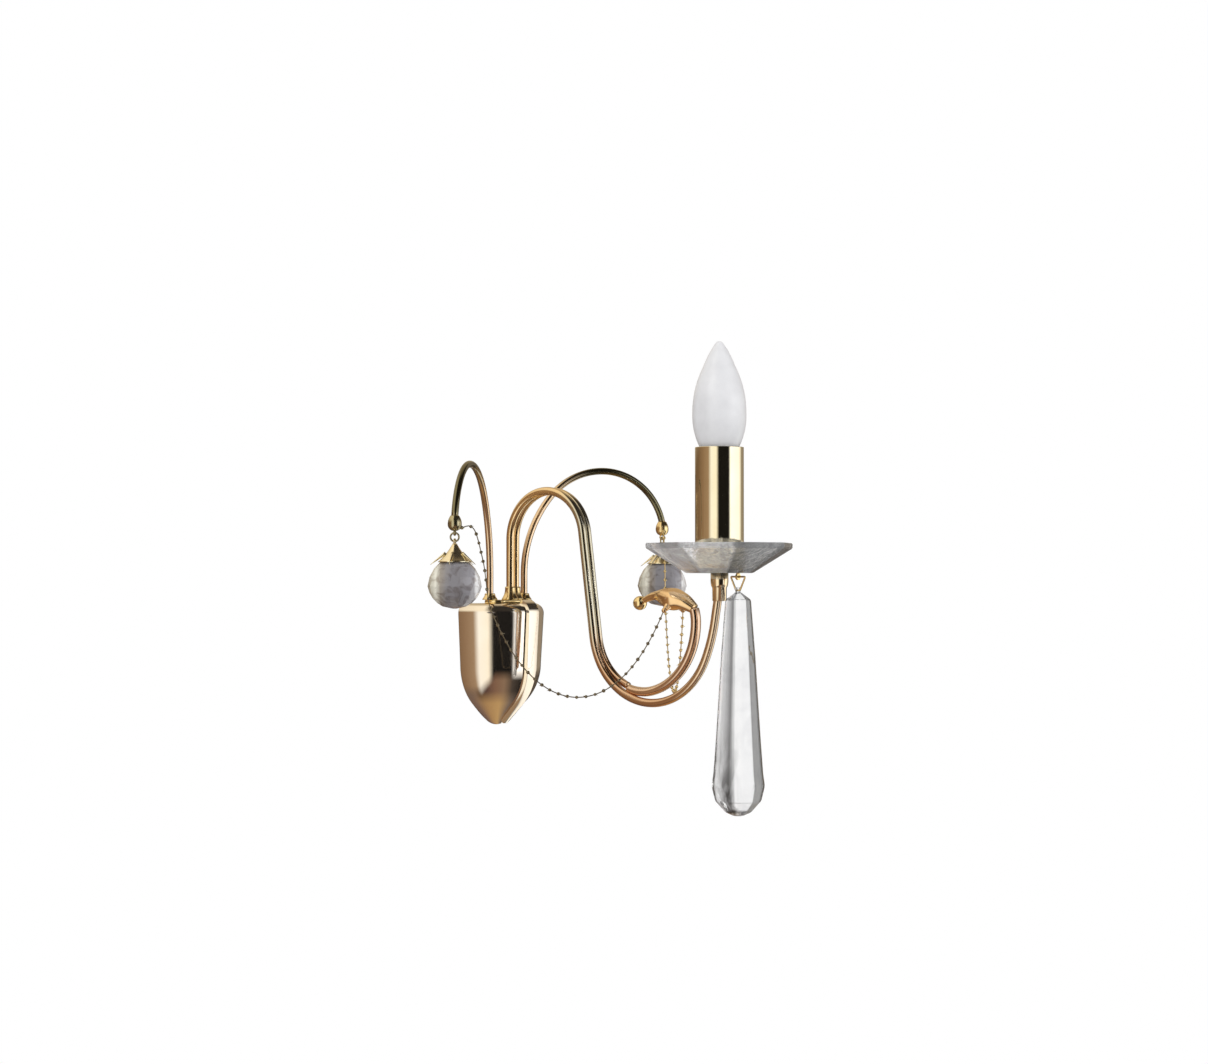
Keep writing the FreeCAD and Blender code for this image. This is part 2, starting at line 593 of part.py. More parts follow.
cluster_collar = keep(combined("Cut", "cluster_collar", [cluster, cluster_bores]))

UNDER_TOP = "(body_top - body_wall)"
roots = [("candle", "0", "-arm_out", "arm_tube / 2", "5.4"),
         ("left", "-side_root", "-side_root_out", "side_rod / 2", "4.6"),
         ("right", "side_root", "-side_root_out", "side_rod / 2", "4.6")]
nuts = []
washers = []
for root, x, y, radius, reach in roots:
    bore = primitive("Cylinder", root + "_nut_bore", x=x, y=y, z="0",
                     Radius=f"{radius} + skin_gap", Height=UNDER_TOP)
    hexagon = primitive("Prism", root + "_hexagon", x=x, y=y,
                        z=f"{UNDER_TOP} - washer_thick - nut_thick",
                        Circumradius=reach, Height="nut_thick")
    disc = primitive("Cylinder", root + "_disc", x=x, y=y, z=f"{UNDER_TOP} - washer_thick",
                     Radius=f"{reach} + 0.4", Height="washer_thick")
    nuts.append(combined("Cut", root + "_nut", [hexagon, bore]))
    washers.append(combined("Cut", root + "_washer", [disc, bore]))
arm_nuts = keep(combined("Compound", "arm_nuts", nuts))
arm_washers = keep(combined("Compound", "arm_washers", washers))

# ---------------------------------------------------------------- scroll band, leaf, ball


def ellipse_across(middle, heading, half_thick, half_broad):
    """An ellipse, broad sideways, square to a heading in the plane of the candle arm."""
    level = math.radians(heading)
    across = Vector(0, math.sin(level), math.cos(level))
    wire = Part.Wire([Part.Ellipse(Vector(), half_broad, half_thick).toShape()])
    turn = FreeCAD.Rotation(Vector(1, 0, 0), across, Vector(), "XYZ")
    wire.Placement = FreeCAD.Placement(middle, turn)
    return wire


def solid_feature(name, shape):
    """A document object that holds a shape made from the sheet's sizes."""
    feature = doc.addObject("Part::Feature", name)
    feature.Shape = shape
    feature.Label = name
    return feature


def bent(start, heading, bends):
    """Arc edges from a start point; each bend is (radius, turn in degrees)."""
    edges = []
    for radius, turn in bends:
        points = []
        for share in (0, 0.5, 1):
            angle = math.radians(heading + turn * share)
            first = math.radians(heading)
            out = radius * (math.sin(angle) - math.sin(first))
            up = radius * (math.cos(first) - math.cos(angle))
            points.append(Vector(start.x, start.y - out, start.z + up))
        edges.append(Part.Arc(*points).toShape())
        start = points[2]
        heading += turn
    return edges, start


START_BEND = size("scroll_start_bend")
FALL = math.radians(size("scroll_start_lean"))
CLIMB = math.radians(size("scroll_low_lean"))
band_start = Vector(
    size("scroll_shift"),
    -(size("scroll_low_out") - START_BEND * (math.sin(FALL) + math.sin(CLIMB))),
    size("scroll_low") + START_BEND * (math.cos(CLIMB) - math.cos(FALL)))
scroll_edges, leaf_start = bent(
    band_start, -size("scroll_start_lean"),
    [(START_BEND, size("scroll_start_lean") + size("scroll_low_lean")),
     (size("scroll_sweep"), 90 - size("scroll_low_lean")),
     (size("scroll_tuck"), size("scroll_tuck_turn"))])
band_section = ellipse_across(band_start, -size("scroll_start_lean"),
                              size("scroll_thick") / 2, size("scroll_broad") / 2)
band_blank = solid_feature("scroll_band_blank", Part.Wire(scroll_edges).makePipeShell(
    [band_section], True, True))
scroll_band = keep(combined("Cut", "scroll_band", [band_blank, arm_core]))


def tapered(name, start, end, start_radius, end_radius):
    """A cone between two points given as (sideways, out, height)."""
    run = Vector(end[0] - start[0], start[1] - end[1], end[2] - start[2])
    return primitive("Cone", name, x=str(start[0]), y=str(-start[1]), z=str(start[2]),
                     tilt=(FreeCAD.Rotation(UP, run),), Radius1=str(start_radius),
                     Radius2=str(end_radius), Height=str(run.Length))


# the leaf swells from the band, turns over and thins out to a stalk that holds the ball
LEAF_ROOT = (leaf_start.x, -leaf_start.y, leaf_start.z)
LEAF_BEND = (1.2, 170.5, 28.0)
LEAF_MIDDLE = (0.6, 162.6, 29.4)
LEAF_NECK = (0.0, 154.5, 31.6)
STALK_BEND = (0.0, 145.5, 31.2)
STALK_END = (0.0, 138.2, 28.4)
LEAF_LEAN = Vector(0, math.cos(math.radians(15)), math.sin(math.radians(15)))
leaf_swell = primitive("Ellipsoid", "leaf_swell", x=str(LEAF_MIDDLE[0]), y=str(-LEAF_MIDDLE[1]),
                       z=str(LEAF_MIDDLE[2]), tilt=(FreeCAD.Rotation(UP, LEAF_LEAN),),
                       Radius1="12", Radius2="leaf_corner_side - 0.8", Radius3="7.4")
leaf_bits = [
    leaf_swell,
    tapered("leaf_root", LEAF_ROOT, LEAF_BEND, size("scroll_thick") / 2, 5.4),
    tapered("leaf_neck", LEAF_NECK, STALK_BEND, 5.0, 2.6),
    primitive("Sphere", "stalk_bend", x=str(STALK_BEND[0]), y=str(-STALK_BEND[1]),
              z=str(STALK_BEND[2]), Radius="2.6"),
    tapered("stalk", STALK_BEND, STALK_END, 2.6, 2.0)]
for side, sign in (("left", -1), ("right", 1)):
    corner = (sign * size("leaf_corner_side"), size("leaf_corner_out"),
              size("leaf_corner_height"))
    leaf_bits.append(tapered(side + "_leaf_corner", (sign * 4.0, size("leaf_corner_out"), 26.5),
                             corner, 3.4, 1.3))
    leaf_bits.append(primitive("Sphere", side + "_corner_eye", x=str(corner[0]),
                               y=str(-corner[1]), z=str(corner[2]), Radius="eye_radius"))
leaf_whole = combined("MultiFuse", "leaf_whole", leaf_bits)
scroll_ball = keep(primitive("Sphere", "scroll_ball", y="-ball_out", z="ball_height",
                             Radius="ball_radius"))
scroll_ball.Label = "scroll_ball"
scroll_leaf = keep(combined("Cut", "scroll_leaf", [
    leaf_whole, combined("Compound", "leaf_cuts", [scroll_ball, scroll_band])]))

# ---------------------------------------------------------------- crystal arms and pendants

TIP_REACH = ("(side_bend_one * (1 - cos(side_angle_one)) + side_bend_two * cos(side_angle_one)"
             " + side_bend_three * sin(side_angle_three))")
APEX_Z = ("(side_rise + side_bend_one * sin(side_angle_one)"
          " + side_bend_two * (1 - sin(side_angle_one)))")
TIP_Z = f"({APEX_Z} - side_bend_three * (1 - cos(side_angle_three)))"
SIDE_ROUTE = [
    ("0", "arm_thread_end"), ("0", "side_rise"),
    ("side_bend_one * (1 - cos(side_angle_one))",
     "side_rise + side_bend_one * sin(side_angle_one)"),
    ("side_bend_one * (1 - cos(side_angle_one)) + side_bend_two * cos(side_angle_one)", APEX_Z),
    (TIP_REACH, TIP_Z)]
SIDE_BENDS = {1: ("side_bend_one", -1), 2: ("side_bend_two", -1), 3: ("side_bend_three", -1)}
KNOB_TOP = f"({TIP_Z} + 1)"
KNOB_BOTTOM = f"({KNOB_TOP} - knob_tall)"
KNOB_EYE = f"({KNOB_BOTTOM} - 1.2)"
CALYX_EYE = f"({KNOB_EYE} - 2 * ring_radius)"
CALYX_TOP = f"({CALYX_EYE} - 1.4)"
CALYX_EDGE = f"({CALYX_TOP} - calyx_tall)"


def eye(name, x, y, z, turn, reach, half="0.75", radius="2.1"):
    """A small upright lug and the hole that a ring runs in, square to the turn."""
    on_edge = FreeCAD.Rotation(UP, worth(turn)).multiply(FreeCAD.Rotation(*ALONG_Y))
    level = FreeCAD.Rotation(UP, worth(turn))
    disc = primitive("Cylinder", name + "_disc", x=f"{x} - {half} * sin({turn})",
                     y=f"{y} + {half} * cos({turn})", z=z, tilt=(on_edge,),
                     Radius=radius, Height=f"2 * {half}")
    hole = primitive("Cylinder", name + "_hole", x=f"{x} - 3 * sin({turn})",
                     y=f"{y} + 3 * cos({turn})", z=z, tilt=(on_edge,),
                     Radius="eye_hole", Height="6")
    low = z if worth(reach) > 0 else f"{z} + {reach}"
    tang = primitive("Box", name + "_tang",
                     x=f"{x} - 1.2 * cos({turn}) + {half} * sin({turn})",
                     y=f"{y} - 1.2 * sin({turn}) - {half} * cos({turn})", z=low, tilt=(level,),
                     Length="2.4", Width=f"2 * {half}", Height=f"abs({reach})")
    return [disc, tang], hole


def crown(name, x, y, turn):
    """The calyx's pointed sepals, spread outwards and a little down."""
    sepals = []
    for number in range(5):
        angle = 72 * number + worth(turn)
        outward = Vector(math.cos(math.radians(angle)), math.sin(math.radians(angle)), 0)
        sepals.append(primitive(
            "Cone", "%s_sepal_%d" % (name, number),
            x=f"{x} + (calyx_radius - 2.4) * {outward.x}",
            y=f"{y} + (calyx_radius - 2.4) * {outward.y}", z=f"{CALYX_EDGE} + 1.6",
            tilt=(FreeCAD.Rotation(UP, outward * 0.94 - UP * 0.34),),
            Radius1="1.3", Radius2="0.25", Height="8.5"))
    return sepals


def side_pieces(side, sign, turn):
    """The crystal arm on one side, with its knob, ring, calyx and crystal."""
    tip_x = f"({sign}(side_root + {TIP_REACH} * cos(side_turn)))"
    tip_y = f"(-(side_root_out + {TIP_REACH} * sin(side_turn)))"
    arm = keep(piped(side + "_crystal_arm", SIDE_ROUTE, "XZ_Plane",
                     [("0", "0", "side_rod / 2")], "arm_thread_end", SIDE_BENDS,
                     sign + "side_root", "-side_root_out", turn))
    knob = turned(side + "_knob_blank",
                  [("0", "0"), ("knob_radius * 0.55", "0.5"), ("knob_radius", "knob_tall * 0.42"),
                   ("knob_radius * 0.72", "knob_tall * 0.8"), ("side_rod / 2 + 0.4", "knob_tall"),
                   ("0", "knob_tall")],
                  {1: ("knob_radius", 1), 2: ("knob_tall * 0.9", 1)},
                  x=tip_x, y=tip_y, z=KNOB_BOTTOM)
    lug, hole = eye(side + "_knob_eye", tip_x, tip_y, KNOB_EYE, turn, "2.4")
    corner = f"({sign}leaf_corner_side)"
    run_x = f"({corner} - {tip_x})"
    run_y = f"(-leaf_corner_out - {tip_y})"
    share = f"(stud_out / sqrt({run_x} ^ 2 + {run_y} ^ 2))"
    stud = primitive("Sphere", side + "_stud", x=f"{tip_x} + {run_x} * {share}",
                     y=f"{tip_y} + {run_y} * {share}", z="stud_height", Radius="stud_radius")
    whole = combined("MultiFuse", side + "_knob_whole", [knob, stud] + lug)
    keep(combined("Cut", side + "_tip_knob",
                  [whole, combined("Compound", side + "_knob_cuts", [arm, hole])]))

    upright = FreeCAD.Rotation(UP, worth(turn)).multiply(FreeCAD.Rotation(*ALONG_X))
    ring = primitive("Torus", side + "_hanging_ring", x=tip_x, y=tip_y,
                     z=f"{KNOB_EYE} - ring_radius", tilt=(upright,),
                     Radius1="ring_radius", Radius2="ring_wire")
    ring.Label = side + "_hanging_ring"
    keep(ring)

    cone = turned(side + "_cone", [
        ("0", "calyx_tall"), ("0", "calyx_tall - calyx_gauge * 1.4"),
        ("calyx_radius - calyx_gauge", "0"), ("calyx_radius", "0"), ("1.2", "calyx_tall")],
        x=tip_x, y=tip_y, z=CALYX_EDGE)
    calyx_lug, calyx_hole = eye(side + "_calyx_eye", tip_x, tip_y, CALYX_EYE, turn, "-2.2")
    room = turned(side + "_crystal_room", [
        ("0", "calyx_tall - calyx_gauge * 1.6"), ("0", "-14"),
        ("crystal_radius + 0.6", "-14"), ("calyx_radius - calyx_gauge", "-0.02")],
        x=tip_x, y=tip_y, z=CALYX_EDGE)
    calyx_whole = combined("MultiFuse", side + "_calyx_whole",
                           [cone] + calyx_lug + crown(side, tip_x, tip_y, turn))
    keep(combined("Cut", side + "_calyx", [
        calyx_whole, combined("Compound", side + "_calyx_cuts", [calyx_hole, room])]))

    neck = f"({CALYX_TOP} - calyx_gauge * 1.6 - calyx_play)"
    keep(turned(side + "_crystal", [
        ("0", neck), ("0.8", f"{neck} - 0.8"),
        ("calyx_radius - calyx_gauge - calyx_play * 3", f"{CALYX_EDGE} + 0.2"),
        ("crystal_radius", "crystal_widest"), ("crystal_radius * 0.45", "crystal_bottom + 1.5"),
        ("0", "crystal_bottom")],
        {2: ("crystal_radius * 1.3", -1), 3: ("crystal_radius * 1.02", -1),
         4: ("crystal_radius * 1.4", -1)},
        x=tip_x, y=tip_y))
    return Vector(worth(tip_x), worth(tip_y), 0)


LEFT_TIP = side_pieces("left", "-", "(180 + side_turn)")
RIGHT_TIP = side_pieces("right", "", "(-side_turn)")

# ---------------------------------------------------------------- candle

CANDLE_Y = f"-{CANDLE_OUT}"
NIPPLE_LOW = "(dish_bottom - 6.4)"
DISH_FLOOR = "(dish_bottom + dish_base_thick)"
WASHER_TOP = f"({DISH_FLOOR} + 1.5)"
SEAT_TOP = f"({WASHER_TOP} + 1.6)"


def bored(name, blank, radius, low, x="0", y=CANDLE_Y, height="60"):
    """The blank with an upright hole through it."""
    bore = primitive("Cylinder", name + "_bore", x=x, y=y, z=low, Radius=radius, Height=height)
    return combined("Cut", name, [blank, bore])


ferrule_blank = turned("ferrule_blank", [
    ("0", "ferrule_bottom"), ("ferrule_foot", "ferrule_bottom"),
    ("ferrule_foot + 0.1", "dish_bottom - 9.4"), ("ferrule_radius - 0.2", "dish_bottom - 7"),
    ("ferrule_radius", "dish_bottom - 5.6"), ("ferrule_radius", "dish_bottom"),
    ("0", "dish_bottom")], y=CANDLE_Y)
ferrule_bored = bored("ferrule_bored", ferrule_blank, "nipple_radius + skin_gap",
                      f"{NIPPLE_LOW} - 0.2")
ferrule = keep(combined("Cut", "ferrule", [ferrule_bored, arm_core]))
nipple = keep(turned("nipple", rectangle("nipple_bore", "nipple_radius", NIPPLE_LOW, "66"),
                     y=CANDLE_Y))


def faceted(name, x, y, sides, turn, rings):
    """A piece with flat facets between rings of (radius to the corners, height)."""
    outlines = []
    for number, (radius, height) in enumerate(rings):
        outline = primitive("RegularPolygon", "%s_outline_%d" % (name, number), x=x, y=y,
                            z=height, tilt=(UP, worth(turn)), Circumradius=radius)
        outline.Polygon = sides
        outlines.append(outline)
    loft = doc.addObject("Part::Loft", name)
    loft.Sections = outlines
    loft.Solid = True
    loft.Ruled = True
    loft.Label = name
    return loft


FACET = "(dish_wall / cos(22.5))"
FLARE = "((dish_rim_radius - dish_base_radius) / (dish_rim - dish_bottom))"
dish_outside = faceted("dish_outside", "0", CANDLE_Y, 8, "dish_turn", [
    ("dish_base_radius", "dish_bottom"), ("dish_rim_radius", "dish_rim - dish_lip"),
    ("dish_rim_radius", "dish_rim")])
dish_inside = faceted("dish_inside", "0", CANDLE_Y, 8, "dish_turn", [
    (f"dish_base_radius + {FLARE} * dish_base_thick - {FACET}", DISH_FLOOR),
    (f"dish_rim_radius + {FLARE} * 4 - {FACET}", "dish_rim + 4")])
dish_room = combined("MultiFuse", "dish_room", [
    dish_inside,
    primitive("Cylinder", "dish_through", y=CANDLE_Y, z="dish_bottom - 1",
              Radius="nipple_radius + skin_gap", Height="dish_base_thick + 2"),
    primitive("Cylinder", "pin_through", y="-drop_out", z="dish_bottom - 1",
              Radius="1.15", Height="dish_base_thick + 2")])
drip_dish = keep(combined("Cut", "drip_dish", [dish_outside, dish_room]))

dish_washer = keep(turned("dish_washer", rectangle(
    "nipple_radius + skin_gap", "9", DISH_FLOOR, WASHER_TOP), y=CANDLE_Y))
sleeve_seat = keep(turned("sleeve_seat", rectangle(
    "nipple_radius + skin_gap", "sleeve_radius + 0.6", WASHER_TOP, SEAT_TOP), y=CANDLE_Y))
candle_sleeve = keep(turned("candle_sleeve", rectangle(
    "sleeve_radius - sleeve_wall", "sleeve_radius", SEAT_TOP, "sleeve_top"), y=CANDLE_Y))

HOLDER_LOW = f"({SEAT_TOP} + 3)"
CAP_LOW = "(bulb_bottom - cap_length)"
CONTACT_FLOOR = f"({CAP_LOW} - 3)"
lamp_holder = keep(turned("lamp_holder", [
    ("nipple_radius + skin_gap", HOLDER_LOW), ("holder_radius", HOLDER_LOW),
    ("holder_radius", "holder_top"), ("holder_bore", "holder_top"),
    ("holder_bore", CONTACT_FLOOR), ("2", CONTACT_FLOOR), ("2", f"{CONTACT_FLOOR} - 3"),
    ("holder_radius - 2", f"{CONTACT_FLOOR} - 3"),
    ("holder_radius - 2", f"{HOLDER_LOW} + 4"),
    ("nipple_radius + skin_gap", f"{HOLDER_LOW} + 4")], y=CANDLE_Y))
holder_nut = keep(combined("Cut", "holder_nut", [
    primitive("Prism", "holder_hexagon", y=CANDLE_Y, z=SEAT_TOP, Circumradius="8.4",
              Height=f"{HOLDER_LOW} - {SEAT_TOP}"),
    primitive("Cylinder", "holder_nut_bore", y=CANDLE_Y, z=f"{SEAT_TOP} - 1",
              Radius="nipple_radius + skin_gap", Height="8")]))
holder_contact = keep(turned("holder_contact", [
    ("0", f"{CONTACT_FLOOR} - 5"), ("1.2", f"{CONTACT_FLOOR} - 5"), ("1.2", f"{CONTACT_FLOOR} - 3"),
    ("1.95", f"{CONTACT_FLOOR} - 3"), ("1.95", f"{CONTACT_FLOOR} + 1.2"),
    ("0", f"{CONTACT_FLOOR} + 1.6")], y=CANDLE_Y))

bulb_cap = keep(turned("bulb_cap", [
    ("2.6", CAP_LOW), ("cap_radius - 1.4", CAP_LOW), ("cap_radius", f"{CAP_LOW} + 2.4"),
    ("cap_radius", "bulb_bottom"), ("bulb_neck", "bulb_bottom"),
    ("bulb_neck", f"{CAP_LOW} + 2.8"), ("cap_radius - 1.7", f"{CAP_LOW} + 0.6"),
    ("2.6", f"{CAP_LOW} + 0.6")], y=CANDLE_Y))
bulb_contact = keep(turned("bulb_contact", [
    ("0", f"{CAP_LOW} - 1"), ("1.8", f"{CAP_LOW} - 0.8"), ("2.55", CAP_LOW),
    ("2.55", f"{CAP_LOW} + 0.6"), ("0", f"{CAP_LOW} + 0.6")], y=CANDLE_Y))
NECK = "bulb_neck - skin_gap"
GLASS = "0.8"
TIP = ("bulb_tip * cos(30)", "bulb_top - bulb_tip * (1 - sin(30))")
INNER_TIP = (f"(bulb_tip - {GLASS}) * cos(30)",
             f"bulb_top - bulb_tip + (bulb_tip - {GLASS}) * sin(30)")
bulb_glass = keep(turned("bulb_glass", [
    (NECK, "bulb_bottom - 6"), (NECK, "bulb_bottom"), ("12.6", "bulb_bottom + 8.5"),
    ("bulb_radius", "bulb_widest"), ("9.6", "bulb_top - 16"), TIP, ("0", "bulb_top"),
    ("0", f"bulb_top - {GLASS}"), INNER_TIP, ("8.9", "bulb_top - 16.4"),
    (f"bulb_radius - {GLASS}", "bulb_widest"),
    (f"12.6 - {GLASS}", "bulb_bottom + 9"), (f"{NECK} - {GLASS}", "bulb_bottom + 0.6"),
    (f"{NECK} - {GLASS}", "bulb_bottom - 6")],
    {1: ("16", 1), 2: ("46", 1), 3: ("66", 1), 4: ("60", 1), 5: ("bulb_tip", 1),
     7: (f"bulb_tip - {GLASS}", -1), 8: ("59.2", -1), 9: ("65.2", -1), 10: ("45.2", -1),
     11: ("16.8", -1)}, y=CANDLE_Y))

# ---------------------------------------------------------------- long drop

DROP_Y = "-drop_out"
pin_lug, pin_hole = eye("pin_eye", "0", f"({DROP_Y})", "drop_pivot", "0", "2.2")
pin_whole = combined("MultiFuse", "pin_whole", pin_lug + [
    primitive("Cylinder", "pin_shank", y=DROP_Y, z="drop_pivot + 1.6", Radius="1.1",
              Height=f"{DISH_FLOOR} - drop_pivot - 1.6"),
    primitive("Cylinder", "pin_head", y=DROP_Y, z=DISH_FLOOR, Radius="2.6", Height="1.2")])
drop_pin = keep(combined("Cut", "drop_pin", [pin_whole, pin_hole]))

LINK_LOW = "(drop_top - 2.2)"
LINK_CORNERS = [("-link_width / 2", "drop_pivot"), ("link_width / 2", "drop_pivot"),
                ("1.5", LINK_LOW), ("-1.5", LINK_LOW)]
link_bits = []
for number, (across, height) in enumerate(LINK_CORNERS):
    to_across, to_height = LINK_CORNERS[(number + 1) % len(LINK_CORNERS)]
    run = Vector(0, worth(to_across) - worth(across), worth(to_height) - worth(height))
    link_bits.append(primitive(
        "Cylinder", "link_side_%d" % number, y=f"{DROP_Y} + {across}", z=height,
        tilt=(FreeCAD.Rotation(UP, run),), Radius="ring_wire",
        Height=f"sqrt(({to_across} - ({across})) ^ 2 + ({to_height} - ({height})) ^ 2)"))
    link_bits.append(primitive("Sphere", "link_corner_%d" % number,
                               y=f"{DROP_Y} + {across}", z=height, Radius="ring_wire"))
drop_link = keep(combined("MultiFuse", "drop_link", link_bits))

drop_glass = faceted("drop_glass", "0", DROP_Y, 12, "15", [
    ("1.8", "drop_top - 3.2"), ("drop_shoulder", "drop_top - 8.1"), ("11.3", "-8"),
    ("14.6", "-60"), ("16.2", "-82"), ("drop_radius", "-90"), ("15", "-99.5"),
    ("8.4", "-106.8"), ("3.2", "drop_bottom")])
tongue = primitive("Box", "drop_tongue", x="-2.2", y=f"{DROP_Y} - 0.8", z="drop_top - 5",
                   Length="4.4", Width="1.6", Height="5")
tongue_hole = primitive("Cylinder", "tongue_hole", y=f"{DROP_Y} + 4", z=LINK_LOW, tilt=ALONG_Y,
                        Radius="eye_hole", Height="8")
crystal_drop = keep(combined("Cut", "crystal_drop", [
    combined("MultiFuse", "drop_whole", [drop_glass, tongue]), tongue_hole]))

# ---------------------------------------------------------------- leads

LEAD = 0.8
LEAD_SIDE = 0.95
POLE_SIDE = size("block_width") / 3
doc.recompute()
arm_line = Part.Wire(Part.__sortEdges__(arm_core.getObject("arm_core_route").Shape.Edges))


def lead_along(edges, start, heading):
    """A round lead swept along joined edges."""
    circle = Part.Wire([Part.makeCircle(LEAD, start, heading)])
    return Part.Wire(edges).makePipeShell([circle], True, True)


def eased(start, end):
    """A curve that leaves and meets its ends straight up."""
    curve = Part.BSplineCurve()
    reach = (end - start).Length
    curve.interpolate([start, end], Tangents=[UP * reach, UP * reach], TangentFlags=[True, True])
    return curve.toShape()


arm_leads = []
for name, side in (("left_lead", -1), ("right_lead", 1)):
    shift = Vector(side * LEAD_SIDE, 0, 0)
    low = Vector(side * POLE_SIDE, worth(POLE_Y), worth(BLOCK_TOP) - 6)
    above = low + UP * 8
    entry = Vector(0, -size("arm_out"), size("arm_thread_end")) + shift
    leave = Vector(0, -worth(CANDLE_OUT), size("arm_end")) + shift
    nipple_out = leave + UP * 22
    end = Vector(side * 5.2, -worth(CANDLE_OUT), worth(CONTACT_FLOOR) - 12)
    inside = arm_line.copy()
    inside.translate(shift)
    arm_leads.append(solid_feature(name, lead_along(
        [Part.makeLine(low, above), eased(above, entry)] + inside.Edges
        + [Part.makeLine(leave, nipple_out), eased(nipple_out, end),
           Part.makeLine(end, end + UP * 8.9)], low, UP)))
keep(combined("Compound", "arm_leads", arm_leads))
earth_from = Vector(0, worth(POLE_Y), worth(BLOCK_TOP) - 6)
earth_to = Vector(0, -size("bracket_gauge") - 3.3, -10.6)
earth_lead = keep(solid_feature("earth_lead", lead_along(
    [Part.makeLine(earth_from, earth_from + UP * 7), eased(earth_from + UP * 7, earth_to)],
    earth_from, UP)))

# ---------------------------------------------------------------- bead garlands


# the string drapes over the calyx and the crystal: (level run from the tip, height)
DRAPE = [(size("stud_out"), size("stud_height")), (9.0, 77.2), (12.0, 75.6), (13.9, 72.0),
         (15.7, 66.0), (17.2, 59.5), (18.8, 52.5), (19.9, 45.0), (20.7, 38.0), (21.7, 30.8)]
HANG_FROM = 23.0
HANG_STEPS = 30
BEAD_SIDES = 6


def bead_string(stations, across):
    """A closed string of cut beads; a station is (point, direction, radius)."""
    points = []
    facets = []
    for point, direction, radius in stations:
        second = direction.cross(across).normalize()
        for side in range(BEAD_SIDES):
            angle = math.tau * side / BEAD_SIDES
            points.append(point + across * (radius * math.cos(angle))
                          + second * (radius * math.sin(angle)))
    for station in range(len(stations) - 1):
        for side in range(BEAD_SIDES):
            near = station * BEAD_SIDES + side
            beside = station * BEAD_SIDES + (side + 1) % BEAD_SIDES
            facets += [(near, beside, near + BEAD_SIDES),
                       (beside, beside + BEAD_SIDES, near + BEAD_SIDES)]
    last = (len(stations) - 1) * BEAD_SIDES
    for side in range(1, BEAD_SIDES - 1):
        facets += [(0, side + 1, side), (last, last + side, last + side + 1)]
    skin = Part.Shape()
    skin.makeShapeFromMesh((points, facets), 0.001)
    string = Part.makeSolid(Part.Shell(skin.Faces))
    if string.Volume < 0:
        string.reverse()
    return string


def garland(side, tip):
    """A string of small beads that hangs between a crystal arm's knob and the leaf."""
    sign = -1 if side == "left" else 1
    level = Vector(sign * size("leaf_corner_side") - tip.x, -size("leaf_corner_out") - tip.y, 0)
    span = level.Length
    level.normalize()
    sag = size("garland_sag")
    line = list(DRAPE)
    for step in range(HANG_STEPS + 1):
        run = HANG_FROM + (span - HANG_FROM) * step / HANG_STEPS
        rise = sag * (math.cosh((run - size("garland_low_run")) / sag) - 1)
        line.append((run, size("garland_low") + rise))
    thread = Part.BSplineCurve()
    thread.interpolate([Vector(tip.x, tip.y, height) + level * run for run, height in line])
    first = size("stud_radius") + size("skin_gap")
    last = thread.length() - size("eye_radius") - size("skin_gap")
    bead = size("bead_radius")
    wire = size("garland_wire")
    count = int((last - first) / size("bead_pitch")) - 1
    pitch = (last - first) / (count + 1)
    stops = [(first, wire)]
    for number in range(1, count + 1):
        middle = first + pitch * number
        stops += [(middle - bead, wire), (middle, bead), (middle + bead, wire)]
    stops.append((last, wire))
    stations = []
    for along, radius in stops:
        place = thread.parameterAtDistance(along)
        stations.append((thread.value(place), thread.tangent(place)[0], radius))
    across = level.cross(UP)
    return keep(solid_feature(side + "_garland", bead_string(stations, across)))


garland("left", LEFT_TIP)
garland("right", RIGHT_TIP)

# ---------------------------------------------------------------- checks and files

doc.recompute()
for item in doc.Objects:
    if "Invalid" in item.State or "Error" in item.State:
        raise RuntimeError("%s did not build: %s" % (item.Name, item.State))
for node in nodes:
    if node.Shape.isNull() or not node.Shape.isValid():
        raise RuntimeError("%s has no valid shape" % node.Label)
    if not node.Shape.Solids:
        raise RuntimeError("%s has no solid" % node.Label)
os.makedirs("parts", exist_ok=True)
for node in nodes:
    node.Shape.exportStep("parts/%s.step" % node.Label)
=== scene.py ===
"""Looks of a crystal wall sconce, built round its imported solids.

Frame: +X to the right, +Y into the wall, +Z up, origin on the wall.  "Out" is the
distance from the wall.  Every length is in metres.
"""

import json
import math

